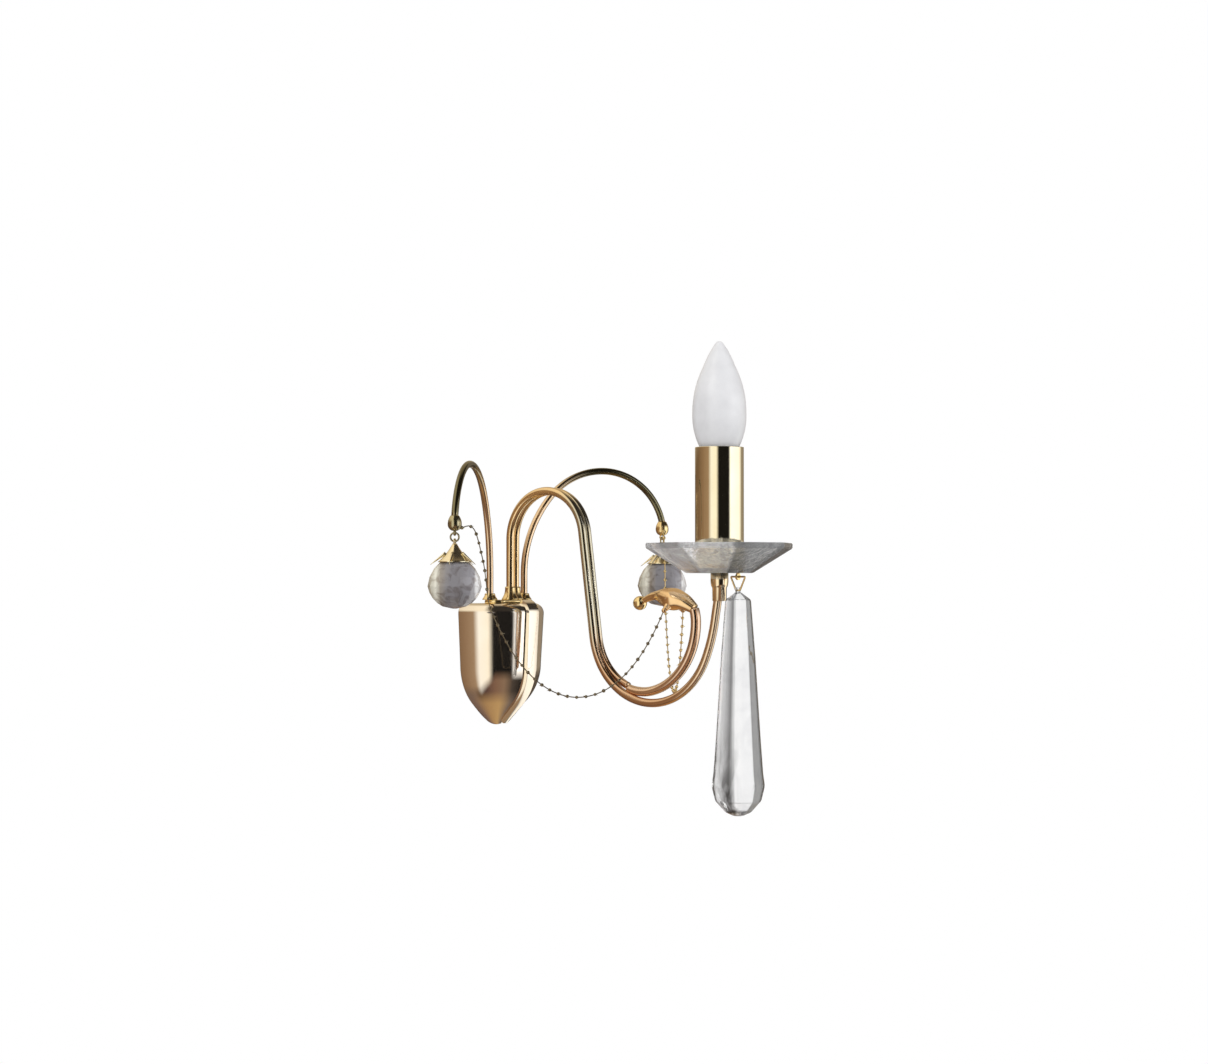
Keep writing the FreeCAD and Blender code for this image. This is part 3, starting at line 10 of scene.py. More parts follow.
import bmesh
import bpy
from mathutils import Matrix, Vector

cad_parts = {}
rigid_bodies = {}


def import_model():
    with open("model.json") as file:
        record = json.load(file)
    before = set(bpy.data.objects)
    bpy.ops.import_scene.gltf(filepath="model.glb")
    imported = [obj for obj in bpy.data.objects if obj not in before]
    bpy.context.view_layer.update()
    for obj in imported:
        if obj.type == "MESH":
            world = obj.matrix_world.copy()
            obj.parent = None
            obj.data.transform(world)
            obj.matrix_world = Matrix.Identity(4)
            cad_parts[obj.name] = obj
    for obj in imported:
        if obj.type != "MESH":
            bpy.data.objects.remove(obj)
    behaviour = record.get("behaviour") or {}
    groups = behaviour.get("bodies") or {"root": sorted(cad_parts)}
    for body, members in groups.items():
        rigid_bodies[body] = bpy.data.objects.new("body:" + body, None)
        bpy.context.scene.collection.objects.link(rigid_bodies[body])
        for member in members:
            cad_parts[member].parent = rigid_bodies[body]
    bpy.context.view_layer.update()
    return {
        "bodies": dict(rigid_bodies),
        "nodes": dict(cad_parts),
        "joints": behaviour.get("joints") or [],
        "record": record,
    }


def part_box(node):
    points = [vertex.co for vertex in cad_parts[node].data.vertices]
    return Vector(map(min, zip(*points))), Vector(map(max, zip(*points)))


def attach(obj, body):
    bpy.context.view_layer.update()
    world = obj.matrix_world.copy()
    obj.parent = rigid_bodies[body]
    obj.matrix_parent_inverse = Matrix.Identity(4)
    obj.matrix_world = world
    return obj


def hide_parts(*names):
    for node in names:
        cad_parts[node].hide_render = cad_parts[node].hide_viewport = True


bl_info = {
    "name": "Crystal Wall Sconce",
    "version": (1, 0, 0),
    "blender": (4, 5, 0),
    "location": "View3D > Sidebar > Sconce",
    "description": "Builds the visible pieces of a crystal wall sconce",
    "category": "Add Mesh",
}

frame = {}
UP = Vector((0, 0, 1))
ROOT_BODY = "fixture"
SIDES = (("left", -1), ("right", 1))

HAIR = 0.00005          # keeps faces apart that would touch
PIPE_HOLE = 0.00496     # radius of the holes for the threaded pipe
DISH_HOLE = 0.00497     # radius of the same hole in the dish
GLASS_WALL = 0.0008     # thickness of the bulb's glass
GLASS_INDEX = 1.52      # refraction of the dish, the drop and the round crystals
CALYX_DROP = 0.0014     # from a hanging ring's foot down to the calyx
STUD_HEIGHT = 0.076     # height of the studs that hold the garlands
LUG_RADIUS = 0.00155
LUG_SECTION = (0.0007, 0.0005)
LUG_STEPS = 32


# ---------------------------------------------------------------- sizes

def length(name, description, default):
    """A length property."""
    return bpy.props.FloatProperty(name=name, description=description, default=default,
                                   unit="LENGTH", precision=5)


def angle(name, description, degrees):
    """An angle property, shown in degrees."""
    return bpy.props.FloatProperty(name=name, description=description,
                                   default=math.radians(degrees), subtype="ANGLE")


class SconceBody(bpy.types.PropertyGroup):
    """Sizes of the bullet-shaped body."""
    axis_out: length("Axis out", "Axis of the turned body, from the wall", 0.006)
    radius: length("Radius", "Radius below the shoulder", 0.033)
    waist: length("Waist", "Radius where the side starts to curve in", 0.031)
    top: length("Top", "Height of the flat top", 0.026)
    bottom: length("Bottom", "Height of the tip", -0.0585)
    shoulder: length("Shoulder", "Rounding at the top edge", 0.007)
    curve_top: length("Curve top", "Height where the side starts to curve in", -0.016)
    curve: length("Curve", "Radius of the side's curve", 0.0384)
    tip_round: length("Tip", "Radius of the tip", 0.0095)
    wall: length("Wall", "Thickness of the shell", 0.0016)
    band_width: length("Band width", "Raised band down the front", 0.010)
    band_tip: length("Band tip", "Width of the raised band at the body's tip", 0.004)
    band_proud: length("Band height", "How far the band stands proud", 0.0026)
    plate_length: length("Plate length", "Oval plate under the arms", 0.041)
    plate_breadth: length("Plate breadth", "Oval plate, front to back", 0.017)
    plate_thick: length("Plate thickness", "Oval plate", 0.0024)


class SconceArms(bpy.types.PropertyGroup):
    """Sizes of the tubes and rods."""
    out: length("Arm out", "Root of the candle arm, from the wall", 0.019)
    tube: length("Tube", "Candle arm, outside diameter", 0.0056)
    low_end: length("Low end", "Height of the arm's lower end in the body", 0.016)
    arch_radius: length("Arch", "Radius of the arch", 0.033)
    arch_top: length("Arch top", "Height of the arch", 0.1032)
    fall_lean: angle("Fall lean", "Lean of the falling tube", 8)
    bend_radius: length("Bend", "Bottom bend of the candle arm", 0.050)
    bend_low: length("Bend low", "Height of the bottom bend", -0.0392)
    rise_turn: angle("Rise turn", "Lean where the bottom bend opens out", 24)
    rise_radius: length("Rise radius", "Open bend of the rising tube", 0.110)
    rise_lean: angle("Rise lean", "Lean of the rising tube", 10)
    lean_end: length("Lean end", "Height where the rising tube straightens", 0.034)
    straighten: length("Straighten", "Bend that straightens the tube", 0.040)
    high_end: length("High end", "Height of the tube's upper end", 0.044)
    scroll_rod: length("Scroll rod", "Rod beside the candle arm, diameter", 0.005)
    scroll_side: length("Scroll side", "Rod's distance from the middle", 0.0055)
    scroll_bend: length("Scroll bend", "Bottom bend of the rod", 0.041)
    scroll_turn: angle("Scroll turn", "Where the rod ends on its bend", 69)
    side_rod: length("Side rod", "Crystal arms, diameter", 0.0047)
    side_root: length("Side root", "Crystal arm root, from the middle", 0.0176)
    side_root_out: length("Side root out", "Crystal arm root, from the wall", 0.016)
    side_turn: angle("Side turn", "Crystal arms turned out from the wall", 30)
    side_rise: length("Side rise", "Height where the crystal arm starts to bend", 0.0465)
    knob_radius: length("Knob", "Knob at the crystal arm's tip", 0.0046)
    knob_tall: length("Knob height", "Height of the knob", 0.010)
    stud_radius: length("Stud", "Stud on the knob that holds the garland", 0.0012)


class SconceScroll(bpy.types.PropertyGroup):
    """Sizes of the scroll, its leaf and its ball."""
    thick: length("Thickness", "Band, in the plane of the scroll", 0.0062)
    broad: length("Breadth", "Band, across", 0.0076)
    shift: length("Shift", "Band, beside the candle arm", 0.0027)
    low_out: length("Low out", "Lowest stretch of the scroll, from the wall", 0.1428)
    low: length("Low", "Height of the lowest stretch", -0.0314)
    start_bend: length("Start bend", "Bend at the cut end", 0.035)
    sweep: length("Sweep", "Long bend of the scroll", 0.047)
    tuck: length("Tuck", "Bend into the leaf", 0.025)
    ball: length("Ball", "Radius of the ball", 0.0047)
    corner_side: length("Corner side", "Leaf corner, from the middle", 0.010)
    corner_out: length("Corner out", "Leaf corner, from the wall", 0.1636)
    corner_height: length("Corner height", "Leaf corner", 0.0222)
    eye_radius: length("Eye", "Eye on the leaf's corner", 0.0017)


class SconceCandle(bpy.types.PropertyGroup):
    """Sizes of the candle, its bulb and the dish."""
    sleeve_radius: length("Sleeve", "Candle sleeve, outside radius", 0.0158)
    sleeve_wall: length("Sleeve wall", "Candle sleeve wall", 0.0009)
    glass_low: length("Glass low", "Where the bulb's glass leaves its cap", 0.120)
    bulb_radius: length("Bulb", "Candle bulb, widest radius", 0.0175)
    bulb_neck: length("Neck", "Candle bulb, radius at the cap", 0.0065)
    bulb_widest: length("Widest", "Height of the widest part", 0.150)
    bulb_top: length("Bulb top", "Tip of the bulb", 0.1968)
    bulb_tip: length("Bulb tip", "Rounding of the bulb's tip", 0.003)
    dish_rim: length("Dish rim", "Rim, to the corners", 0.0488)
    dish_base: length("Dish base", "Underside, to the corners", 0.0223)
    dish_lip: length("Dish lip", "Upright lip round the rim", 0.0034)
    dish_floor: length("Dish floor", "Thickness of the dish's base", 0.0046)
    dish_wall: length("Dish wall", "Thickness of the dish's wall, level", 0.0044)
    dish_turn: angle("Dish turn", "Turn of the dish about its axis", 5)
    dish_bevel: length("Dish bevel", "Ground edges of the dish", 0.0005)


class SconceCrystals(bpy.types.PropertyGroup):
    """Sizes of the hanging pieces."""
    ring_wire: length("Ring wire", "Radius of the hanging rings' wire", 0.0006)
    ring_radius: length("Ring", "Hanging ring, to the wire's middle", 0.0028)
    calyx_radius: length("Calyx", "Calyx, lower edge", 0.011)
    calyx_tall: length("Calyx height", "Height of the calyx", 0.012)
    calyx_gauge: length("Calyx wall", "Wall of the calyx", 0.0008)
    round_radius: length("Round crystal", "Round crystal, widest", 0.0176)
    drop_shoulder: length("Drop shoulder", "Long drop, radius at the shoulder", 0.0084)
    drop_radius: length("Drop", "Long drop, widest radius", 0.0173)
    link_width: length("Link", "Triangular link that holds the drop", 0.0116)


class SconceGarlands(bpy.types.PropertyGroup):
    """Sizes of the bead garlands."""
    bead: length("Bead", "Radius of the beads", 0.00125)
    pitch: length("Pitch", "Between beads", 0.006)
    wire: length("Wire", "Radius of the string", 0.00035)
    sag: length("Sag", "Catenary constant", 0.0349)
    low: length("Low", "Lowest point", -0.0342)
    low_run: length("Low run", "Lowest point, level from the arm's tip", 0.0801)
    barb: length("Barb", "Length of the leaf on a bead", 0.0021)


class SconceStudio(bpy.types.PropertyGroup):
    """Camera and light."""
    aim: bpy.props.FloatVectorProperty(name="Aim", description="What the camera looks at",
                                       default=(0.0512, -0.061, 0.0757), subtype="XYZ",
                                       unit="LENGTH")
    distance: length("Distance", "Camera to aim", 1.7)
    azimuth: angle("Azimuth", "Camera's turn round the object", -50)
    tilt: angle("Tilt", "Camera's look upwards", 1.13)
    lens: bpy.props.FloatProperty(name="Lens", description="Focal length in millimetres",
                                  default=72.36)


SIZES = (("body", SconceBody), ("arms", SconceArms), ("scroll", SconceScroll),
         ("candle", SconceCandle), ("crystals", SconceCrystals),
         ("garlands", SconceGarlands), ("studio", SconceStudio))


class SconceSizes(bpy.types.PropertyGroup):
    """All sizes of the sconce, by group."""
    __annotations__ = {name: bpy.props.PointerProperty(type=kind) for name, kind in SIZES}


def sizes(group):
    """One group of sizes."""
    return getattr(bpy.context.scene.sconce, group)


def middle_of(node):
    """The upright axis of a solid, as X and Y."""
    low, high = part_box(node)
    return ((low[0] + high[0]) / 2, (low[1] + high[1]) / 2)


def centre_of(node):
    """The middle of a solid."""
    low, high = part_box(node)
    return (Vector(low) + Vector(high)) / 2


def heights_of(node):
    """The foot and the top of a solid."""
    low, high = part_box(node)
    return low[2], high[2]


# ---------------------------------------------------------------- outlines and meshes

def arc(start, end, radius, side, steps=10):
    """Points after start, up to end, on a short arc; side +1 turns left, -1 right."""
    start, end = Vector(start), Vector(end)
    chord = end - start
    rise = math.sqrt(max(radius ** 2 - (chord.length / 2) ** 2, 0.0))
    across = Vector((-chord.y, chord.x)).normalized()
    centre = (start + end) / 2 + across * side * rise
    first = math.atan2(start.y - centre.y, start.x - centre.x)
    turn = 2 * math.asin(min(1.0, chord.length / 2 / radius)) * side
    return [centre + Vector((math.cos(first + turn * step / steps),
                             math.sin(first + turn * step / steps))) * radius
            for step in range(1, steps + 1)]


def eased(outline, radius, steps=3):
    """The closed outline with each corner rounded off by about the radius."""
    points = [Vector(point) for point in outline]
    result = []
    for index, point in enumerate(points):
        before, after = points[index - 1], points[(index + 1) % len(points)]
        reach = min(radius, (before - point).length / 2.2, (after - point).length / 2.2)
        start = point + (before - point).normalized() * reach
        end = point + (after - point).normalized() * reach
        for step in range(steps + 1):
            t = step / steps
            result.append(start * (1 - t) ** 2 + point * 2 * t * (1 - t) + end * t ** 2)
    return result


def smoothed(rows, steps):
    """Rows of numbers with smooth rows filled in between them."""
    filled = []
    for here in range(len(rows) - 1):
        around = [rows[max(here - 1, 0)], rows[here], rows[here + 1],
                  rows[min(here + 2, len(rows) - 1)]]
        for step in range(steps):
            t = step / steps
            weights = (-t ** 3 + 2 * t ** 2 - t, 3 * t ** 3 - 5 * t ** 2 + 2,
                       -3 * t ** 3 + 4 * t ** 2 + t, t ** 3 - t ** 2)
            filled.append([sum(w * row[k] for w, row in zip(weights, around)) / 2
                           for k in range(len(rows[0]))])
    return filled + [list(rows[-1])]


def hoop(middle, level, radius, steps):
    """Points round an upright circle that lies along a level direction."""
    turns = [math.tau * step / steps for step in range(steps)]
    return [middle + level * (radius * math.cos(turn)) + UP * (radius * math.sin(turn))
            for turn in turns]


def linked(name, data):
    """A new object in the scene that holds the data."""
    made = bpy.data.objects.new(name, data)
    bpy.context.scene.collection.objects.link(made)
    return made


def mesh_object(name, points, faces, smooth=True):
    """A mesh object at the origin, its normals made to face outwards."""
    mesh = bpy.data.meshes.new(name)
    mesh.from_pydata([tuple(point) for point in points], [], faces)
    work = bmesh.new()
    work.from_mesh(mesh)
    bmesh.ops.remove_doubles(work, verts=work.verts, dist=1e-7)
    bmesh.ops.recalc_face_normals(work, faces=work.faces)
    work.to_mesh(mesh)
    work.free()
    mesh.polygons.foreach_set("use_smooth", [smooth] * len(mesh.polygons))
    return linked(name, mesh)


def grid_faces(rings, around, end_caps=False, loop=False):
    """Quads between rings of points, with caps if asked."""
    faces = []
    for ring in range(rings if loop else rings - 1):
        following = (ring + 1) % rings
        for side in range(around):
            beside = (side + 1) % around
            faces.append((ring * around + side, ring * around + beside,
                          following * around + beside, following * around + side))
    if end_caps:
        faces.append(tuple(range(around)))
        faces.append(tuple((rings - 1) * around + side for side in range(around)))
    return faces


def ring_points(rings, centre, sides, turn=0.0):
    """Corners of level rings of (radius, height) round an upright axis."""
    return [(centre[0] + radius * math.cos(turn + math.tau * side / sides),
             centre[1] + radius * math.sin(turn + math.tau * side / sides), height)
            for radius, height in rings for side in range(sides)]


def spun(name, outline, centre, around=96, closed=True):
    """A turned piece: outline of (radius, height) about an upright axis at centre."""
    return mesh_object(name, ring_points(outline, centre, around),
                       grid_faces(len(outline), around, loop=closed))


def swept(name, route, sections, around=24, loop=False, square=1.0):
    """A tube along points; sections gives (half breadth, half thickness) at each.

    Breadth lies square to the route's own plane, which keeps its first side vector.
    """
    points = []
    count = len(route)
    tangents = []
    for index in range(count):
        before = route[index - 1] if loop or index else route[0]
        after = route[(index + 1) % count] if loop or index < count - 1 else route[-1]
        tangents.append((after - before).normalized())
    normal = max((tangents[0].cross(tangent) for tangent in tangents[1:]),
                 key=lambda vector: vector.length).normalized()
    for point, tangent, (broad, thick) in zip(route, tangents, sections):
        second = tangent.cross(normal).normalized()
        for side in range(around):
            turn = math.tau * side / around
            across, along = math.cos(turn), math.sin(turn)
            if square != 1.0 and along > 0:
                across = math.copysign(abs(across) ** square, across)
                along = along ** square
            points.append(point + normal * (broad * across) + second * (thick * along))
    return mesh_object(name, points, grid_faces(count, around, end_caps=not loop, loop=loop))


def tube(name, route, radius, around=24, loop=False):
    """A round rod along points."""
    return swept(name, route, [(radius, radius)] * len(route), around, loop)


def ball(name, centre, radius, around=32):
    """A turned ball."""
    steps = 24
    outline = [(radius * math.sin(math.pi * step / steps),
                centre[2] - radius * math.cos(math.pi * step / steps))
               for step in range(steps + 1)]
    return spun(name, outline, centre, around, closed=False)


def lug(middle, level):
    """The small upright eye that a hanging ring passes through."""
    return swept("Lug", hoop(middle, level, LUG_RADIUS, LUG_STEPS),
                 [LUG_SECTION] * LUG_STEPS, 12, loop=True)


def prism(name, rings, centre, sides, turn, bevel):
    """A piece with flat facets between rings of (radius to the corners, height)."""
    piece = mesh_object(name, ring_points(rings, centre, sides, turn),
                        grid_faces(len(rings), sides, end_caps=True), smooth=False)
    ground(piece, bevel)
    return piece


def ground(piece, width, limit=12.0):
    """Bevels the sharp edges, as a ground and polished edge has."""
    if not width:
        return
    work = bmesh.new()
    work.from_mesh(piece.data)
    sharp = [edge for edge in work.edges if len(edge.link_faces) == 2
             and edge.calc_face_angle() > math.radians(limit)]
    bmesh.ops.bevel(work, geom=sharp, offset=width, segments=2, affect="EDGES",
                    clamp_overlap=True)
    work.to_mesh(piece.data)
    work.free()


def cut_off(piece, point, normal):
    """Cuts away what lies beyond a plane and closes the cut."""
    work = bmesh.new()
    work.from_mesh(piece.data)
    bmesh.ops.bisect_plane(work, geom=work.verts[:] + work.edges[:] + work.faces[:],
                           plane_co=point, plane_no=normal, clear_outer=True)
    edges = [edge for edge in work.edges if edge.is_boundary]
    bmesh.ops.triangle_fill(work, use_beauty=True, use_dissolve=False, edges=edges,
                            normal=normal)
    bmesh.ops.recalc_face_normals(work, faces=work.faces)
    work.to_mesh(piece.data)
    work.free()


def joined(name, pieces):
    """One object from several."""
    work = bmesh.new()
    for piece in pieces:
        work.from_mesh(piece.data)
    mesh = bpy.data.meshes.new(name)
    work.to_mesh(mesh)
    work.free()
    for piece in pieces:
        bpy.data.objects.remove(piece)
    return linked(name, mesh)


class Route:
    """A line drawn in an upright plane from straight runs and bends."""

    def __init__(self, run, height, heading):
        self.here = Vector((run, height))
        self.heading = heading
        self.points = [self.here.copy()]

    def to_height(self, height, steps=12):
        """Straight on until the height."""
        step = Vector((math.cos(self.heading), math.sin(self.heading)))
        step *= (height - self.here.y) / step.y / steps
        for _ in range(steps):
            self.here = self.here + step
            self.points.append(self.here.copy())
        return self

    def bend(self, radius, turn, steps=24):
        """Round a bend; a positive turn goes up to the left."""
        side = math.copysign(1, turn)
        centre = self.here + Vector((-math.sin(self.heading), math.cos(self.heading))) \
            * radius * side
        arm = self.here - centre
        for step in range(1, steps + 1):
            part = turn * step / steps
            self.points.append(centre + Vector((
                arm.x * math.cos(part) - arm.y * math.sin(part),
                arm.x * math.sin(part) + arm.y * math.cos(part))))
        self.here = self.points[-1].copy()
        self.heading += turn
        return self

    def placed(self, origin=(0, 0), turn=-math.pi / 2):
        """The points in space; turn is the direction of the plane on the floor."""
        return [Vector((origin[0] + point.x * math.cos(turn),
                        origin[1] + point.x * math.sin(turn), point.y))
                for point in self.points]


def put(piece, nodes, material, body=ROOT_BODY):
    """Lets a finished piece stand for its solids, ride their body and wear a material."""
    if not piece.data.polygons:
        raise RuntimeError(piece.name + " has no faces")
    piece.data.materials.clear()
    piece.data.materials.append(material)
    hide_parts(*nodes)
    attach(piece, body)


# ---------------------------------------------------------------- materials

def node_tree(name):
    """A new material, its tree and its Principled shader."""
    material = bpy.data.materials.new(name)
    material.use_nodes = True
    tree = material.node_tree
    tree.nodes.clear()
    output = tree.nodes.new("ShaderNodeOutputMaterial")
    shader = tree.nodes.new("ShaderNodeBsdfPrincipled")
    tree.links.new(shader.outputs[0], output.inputs[0])
    return material, tree, shader


def fill(tree, node, inputs):
    """Links a node's inputs to sockets, or sets them to values."""
    for key, value in inputs.items():
        if isinstance(value, bpy.types.NodeSocket):
            tree.links.new(value, node.inputs[key])
        else:
            node.inputs[key].default_value = value


def add(tree, kind, inputs=None, **settings):
    """A node with its settings, and its inputs set or linked."""
    made = tree.nodes.new(kind)
    for key, value in settings.items():
        setattr(made, key, value)
    fill(tree, made, inputs or {})
    return made


def worked(tree, operation, *values):
    """What a Math node makes of its values."""
    return add(tree, "ShaderNodeMath", dict(enumerate(values)), operation=operation).outputs[0]


def vectored(tree, operation, *values):
    """The outputs of a Vector Math node."""
    return add(tree, "ShaderNodeVectorMath", dict(enumerate(values)),
               operation=operation).outputs


def spread(tree, value, low, high, to_low=0.0, to_high=1.0):
    """The stretch from low to high carried over to another one, and held at its ends."""
    return add(tree, "ShaderNodeMapRange", {
        "Value": value, "From Min": low, "From Max": high, "To Min": to_low,
        "To Max": to_high}).outputs["Result"]


def new_group(name, wanted, given):
    """A shader node group with named inputs and outputs."""
    tree = bpy.data.node_groups.new(name, "ShaderNodeTree")
    for label, kind, default in wanted:
        socket = tree.interface.new_socket(label, in_out="INPUT", socket_type=kind)
        socket.default_value = default
    for label, kind in given:
        tree.interface.new_socket(label, in_out="OUTPUT", socket_type=kind)
    return tree, tree.nodes.new("NodeGroupInput"), tree.nodes.new("NodeGroupOutput")


def smudge_group():
    """A soft mask of handling marks and the bump of hand polishing."""
    name = "Polish"
    if name in bpy.data.node_groups:
        return bpy.data.node_groups[name]
    tree, source, sink = new_group(
        name, (("Scale", "NodeSocketFloat", 60.0), ("Depth", "NodeSocketFloat", 0.02)),
        (("Mask", "NodeSocketFloat"), ("Normal", "NodeSocketVector")))
    place = add(tree, "ShaderNodeTexCoord").outputs["Object"]
    broad = add(tree, "ShaderNodeTexNoise", {
        "Vector": place, "Scale": source.outputs["Scale"], "Detail": 4.0,
        "Roughness": 0.6}).outputs["Fac"]
    fine = add(tree, "ShaderNodeTexNoise", {"Vector": place, "Scale": 900.0,
                                            "Detail": 3.0}).outputs["Fac"]
    bump = add(tree, "ShaderNodeBump", {
        "Strength": source.outputs["Depth"], "Distance": 0.0004,
        "Height": worked(tree, "ADD", broad, fine)})
    fill(tree, sink, {"Mask": spread(tree, broad, 0.4, 0.7), "Normal": bump.outputs[0]})
    return tree


def edge_and_hollow_group():
    """A mask of the exposed edges and a mask of the hollows."""
    name = "Edges"
    if name in bpy.data.node_groups:
        return bpy.data.node_groups[name]
    tree, source, sink = new_group(name, (("Amount", "NodeSocketFloat", 0.5),),
                                   (("Edge", "NodeSocketFloat"), ("Hollow", "NodeSocketFloat")))
    bend = add(tree, "ShaderNodeNewGeometry").outputs["Pointiness"]
    for label, low, high in (("Edge", 0.53, 0.62), ("Hollow", 0.48, 0.40)):
        share = spread(tree, bend, low, high)
        fill(tree, sink, {label: worked(tree, "MULTIPLY", share, source.outputs["Amount"])})
    return tree


def mixed(tree, factor, first, second, blend="MIX"):
    """A colour between two."""
    return add(tree, "ShaderNodeMix", {0: factor, 6: first, 7: second}, data_type="RGBA",
               blend_type=blend).outputs[2]


def product(tree, first, second):
    """The product of two colours."""
    return mixed(tree, 1.0, first, second, "MULTIPLY")


def rgba(colour):
    """A colour with full alpha."""
    return (*colour, 1.0)


def metal(name, colour, second, roughness=0.09, scale=60.0, depth=0.02, tones=()):
    """Polished metal: two close tones, smudges in its gloss and brighter edges.

    A tone is (axis, from, to, colour) and is painted reflection: the metal takes that colour
    along an axis, and an axis of 0 counts both ways from the middle.
    """
    material, tree, shader = node_tree(name)
    polish = add(tree, "ShaderNodeGroup", node_tree=smudge_group())
    fill(tree, polish, {"Scale": scale, "Depth": depth})
    edges = add(tree, "ShaderNodeGroup", node_tree=edge_and_hollow_group())
    toned = mixed(tree, polish.outputs["Mask"], rgba(colour), rgba(second))
    for axis, low, high, tone in tones:
        place = add(tree, "ShaderNodeTexCoord").outputs["Object"]
        along = add(tree, "ShaderNodeSeparateXYZ", {0: place}).outputs[axis]
        if axis == 0:
            along = worked(tree, "ABSOLUTE", along)
        toned = mixed(tree, spread(tree, along, low, high), toned, rgba(tone))
    dulled = mixed(tree, edges.outputs["Hollow"], toned, rgba([c * 0.45 for c in second]))
    bright = mixed(tree, edges.outputs["Edge"], dulled,
                   rgba([min(1.0, c * 1.2 + 0.04) for c in colour]))
    fill(tree, shader, {
        "Base Color": bright, "Metallic": 1.0, "Normal": polish.outputs["Normal"],
        "Roughness": spread(tree, polish.outputs["Mask"], 0.0, 1.0, roughness,
                            roughness * 1.8)})
    return material


def sides_of(turn):
    """Level directions to the right of, and towards, someone who stands at that turn."""
    return (Vector((math.cos(turn), math.sin(turn), 0.0)),
            Vector((math.sin(turn), -math.cos(turn), 0.0)))


def turn_of(tree, vector, turn):
    """How far a vector is turned round from that standpoint; negative to the left."""
    parts = [vectored(tree, "DOT_PRODUCT", vector, side)["Value"] for side in sides_of(turn)]
    return worked(tree, "ARCTAN2", *parts)


def banded(tree, value, stops, limit):
    """A ramp over values up to the limit each way."""
    return ramp(tree, spread(tree, value, -limit, limit),
                [((place + limit) / (2 * limit), colour) for place, colour in stops])


def greys(tones):
    """Grey stops by turn, from tones by turn in degrees."""
    return [(math.radians(turn), [tone] * 3) for turn, tone in tones]


def painted_foot_shade(tree, place, shade, turned):
    """Painted dark shade in streaks that rise from the foot of the long drop."""
    foot, top = heights_of("crystal_drop")
    drawn = vectored(tree, "MULTIPLY", place, FOOT_SHADE_STRETCH)[0]
    curls = add(tree, "ShaderNodeTexNoise", {"Vector": drawn, "Scale": FOOT_SHADE_SCALE,
                                             "Detail": 4.0, "Distortion": 0.8})
    strong = spread(tree, curls.outputs["Fac"], *FOOT_SHADE_EDGE)
    height = add(tree, "ShaderNodeSeparateXYZ", {0: place}).outputs["Z"]
    reach = spread(tree, height, *[foot + share * (top - foot) for share in FOOT_SHADE_REACH])
    dark = banded(tree, turned, greys(FOOT_PAINTED_SHADE), math.pi)
    return mixed(tree, worked(tree, "MULTIPLY", strong, reach), shade,
                 product(tree, shade, dark))


def glass(name, colour, second, roughness, scale, depth, through, centre, tones, across=0.0,
          foot_shaded=False):
    """Clear or milky glass with streaks and a slightly uneven surface.

    The tones are painted shade and painted highlights on its facets, by their turn round the
    centre, in degrees, or by their place across the piece where its half breadth is given;
    the foot can also get painted dark shade.
    """
    material, tree, shader = node_tree(name)
    place = add(tree, "ShaderNodeTexCoord").outputs["Object"]
    streaks = add(tree, "ShaderNodeTexNoise", {"Vector": place, "Scale": scale, "Detail": 5.0,
                                               "Distortion": 1.2}).outputs["Fac"]
    strong = spread(tree, streaks, 0.48, 0.62)
    shade = mixed(tree, strong, rgba(colour), rgba(second))
    moved = vectored(tree, "SUBTRACT", place, (*centre, 0.0))[0]
    front = sizes("studio").azimuth
    if across:
        level = vectored(tree, "DOT_PRODUCT", moved, sides_of(front)[0])["Value"]
        stops = [(share * across, tone) for share, tone in tones]
        shade = product(tree, shade, banded(tree, level, stops, across))
    else:
        turned = turn_of(tree, moved, front)
        shade = product(tree, shade, banded(tree, turned, greys(tones), math.pi))
        if foot_shaded:
            shade = painted_foot_shade(tree, place, shade, turned)
    bump = add(tree, "ShaderNodeBump", {"Strength": depth, "Distance": 0.001,
                                        "Height": streaks})
    fill(tree, shader, {
        "Base Color": shade, "Normal": bump.outputs[0], "IOR": GLASS_INDEX, "Metallic": 0.0,
        "Roughness": spread(tree, strong, 0.0, 1.0, roughness, roughness * 3),
        "Transmission Weight": through})
    return material


def dull(name, colour, second, roughness=0.45, transmission=0.0):
    """Plastic, lead covering or frosted glass: a fine mottle and a fine grain."""
    material, tree, shader = node_tree(name)
    polish = add(tree, "ShaderNodeGroup", node_tree=smudge_group())
    fill(tree, polish, {"Scale": 90.0, "Depth": 0.06})
    mask = polish.outputs["Mask"]
    fill(tree, shader, {
        "Base Color": mixed(tree, mask, rgba(colour), rgba(second)), "Metallic": 0.0,
        "Normal": polish.outputs["Normal"],
        "Roughness": spread(tree, mask, 0.0, 1.0, roughness, roughness + 0.1),
        "Transmission Weight": transmission})
    return material


def round_crystal(side):
    """The veined glass of one round crystal, with painted shade and painted highlights across
    it.
    """
    return glass(side.title() + "Crystal", (1.0, 1.0, 1.0), (0.66, 0.62, 0.60), 0.03, 150.0,
                 0.15, 0.35, middle_of(side + "_crystal"), ROUND_PAINTED_LIGHT,
                 sizes("crystals").round_radius)


# painted shade and painted highlights on the glass facets, by turn in degrees or by place across
DROP_PAINTED_SHADE = (
    (-180, 0.97), (-86, 0.97), (-84, 0.99), (-64, 0.97), (-54, 0.60), (-36, 0.34),
    (-25, 0.10), (-19, 0.50), (-12, 0.97), (4, 1.0), (33, 1.0), (36, 0.12), (64, 0.14),
    (66, 0.10), (94, 0.10), (98, 0.97), (180, 0.97))
# painted dark shade in the drop's foot, by turn in degrees
FOOT_PAINTED_SHADE = (
    (-180, 1.0), (-92, 1.0), (-80, 0.22), (-52, 0.10), (-24, 0.04), (-12, 0.16),
    (0, 0.90), (24, 1.0), (70, 0.60), (96, 1.0), (180, 1.0))
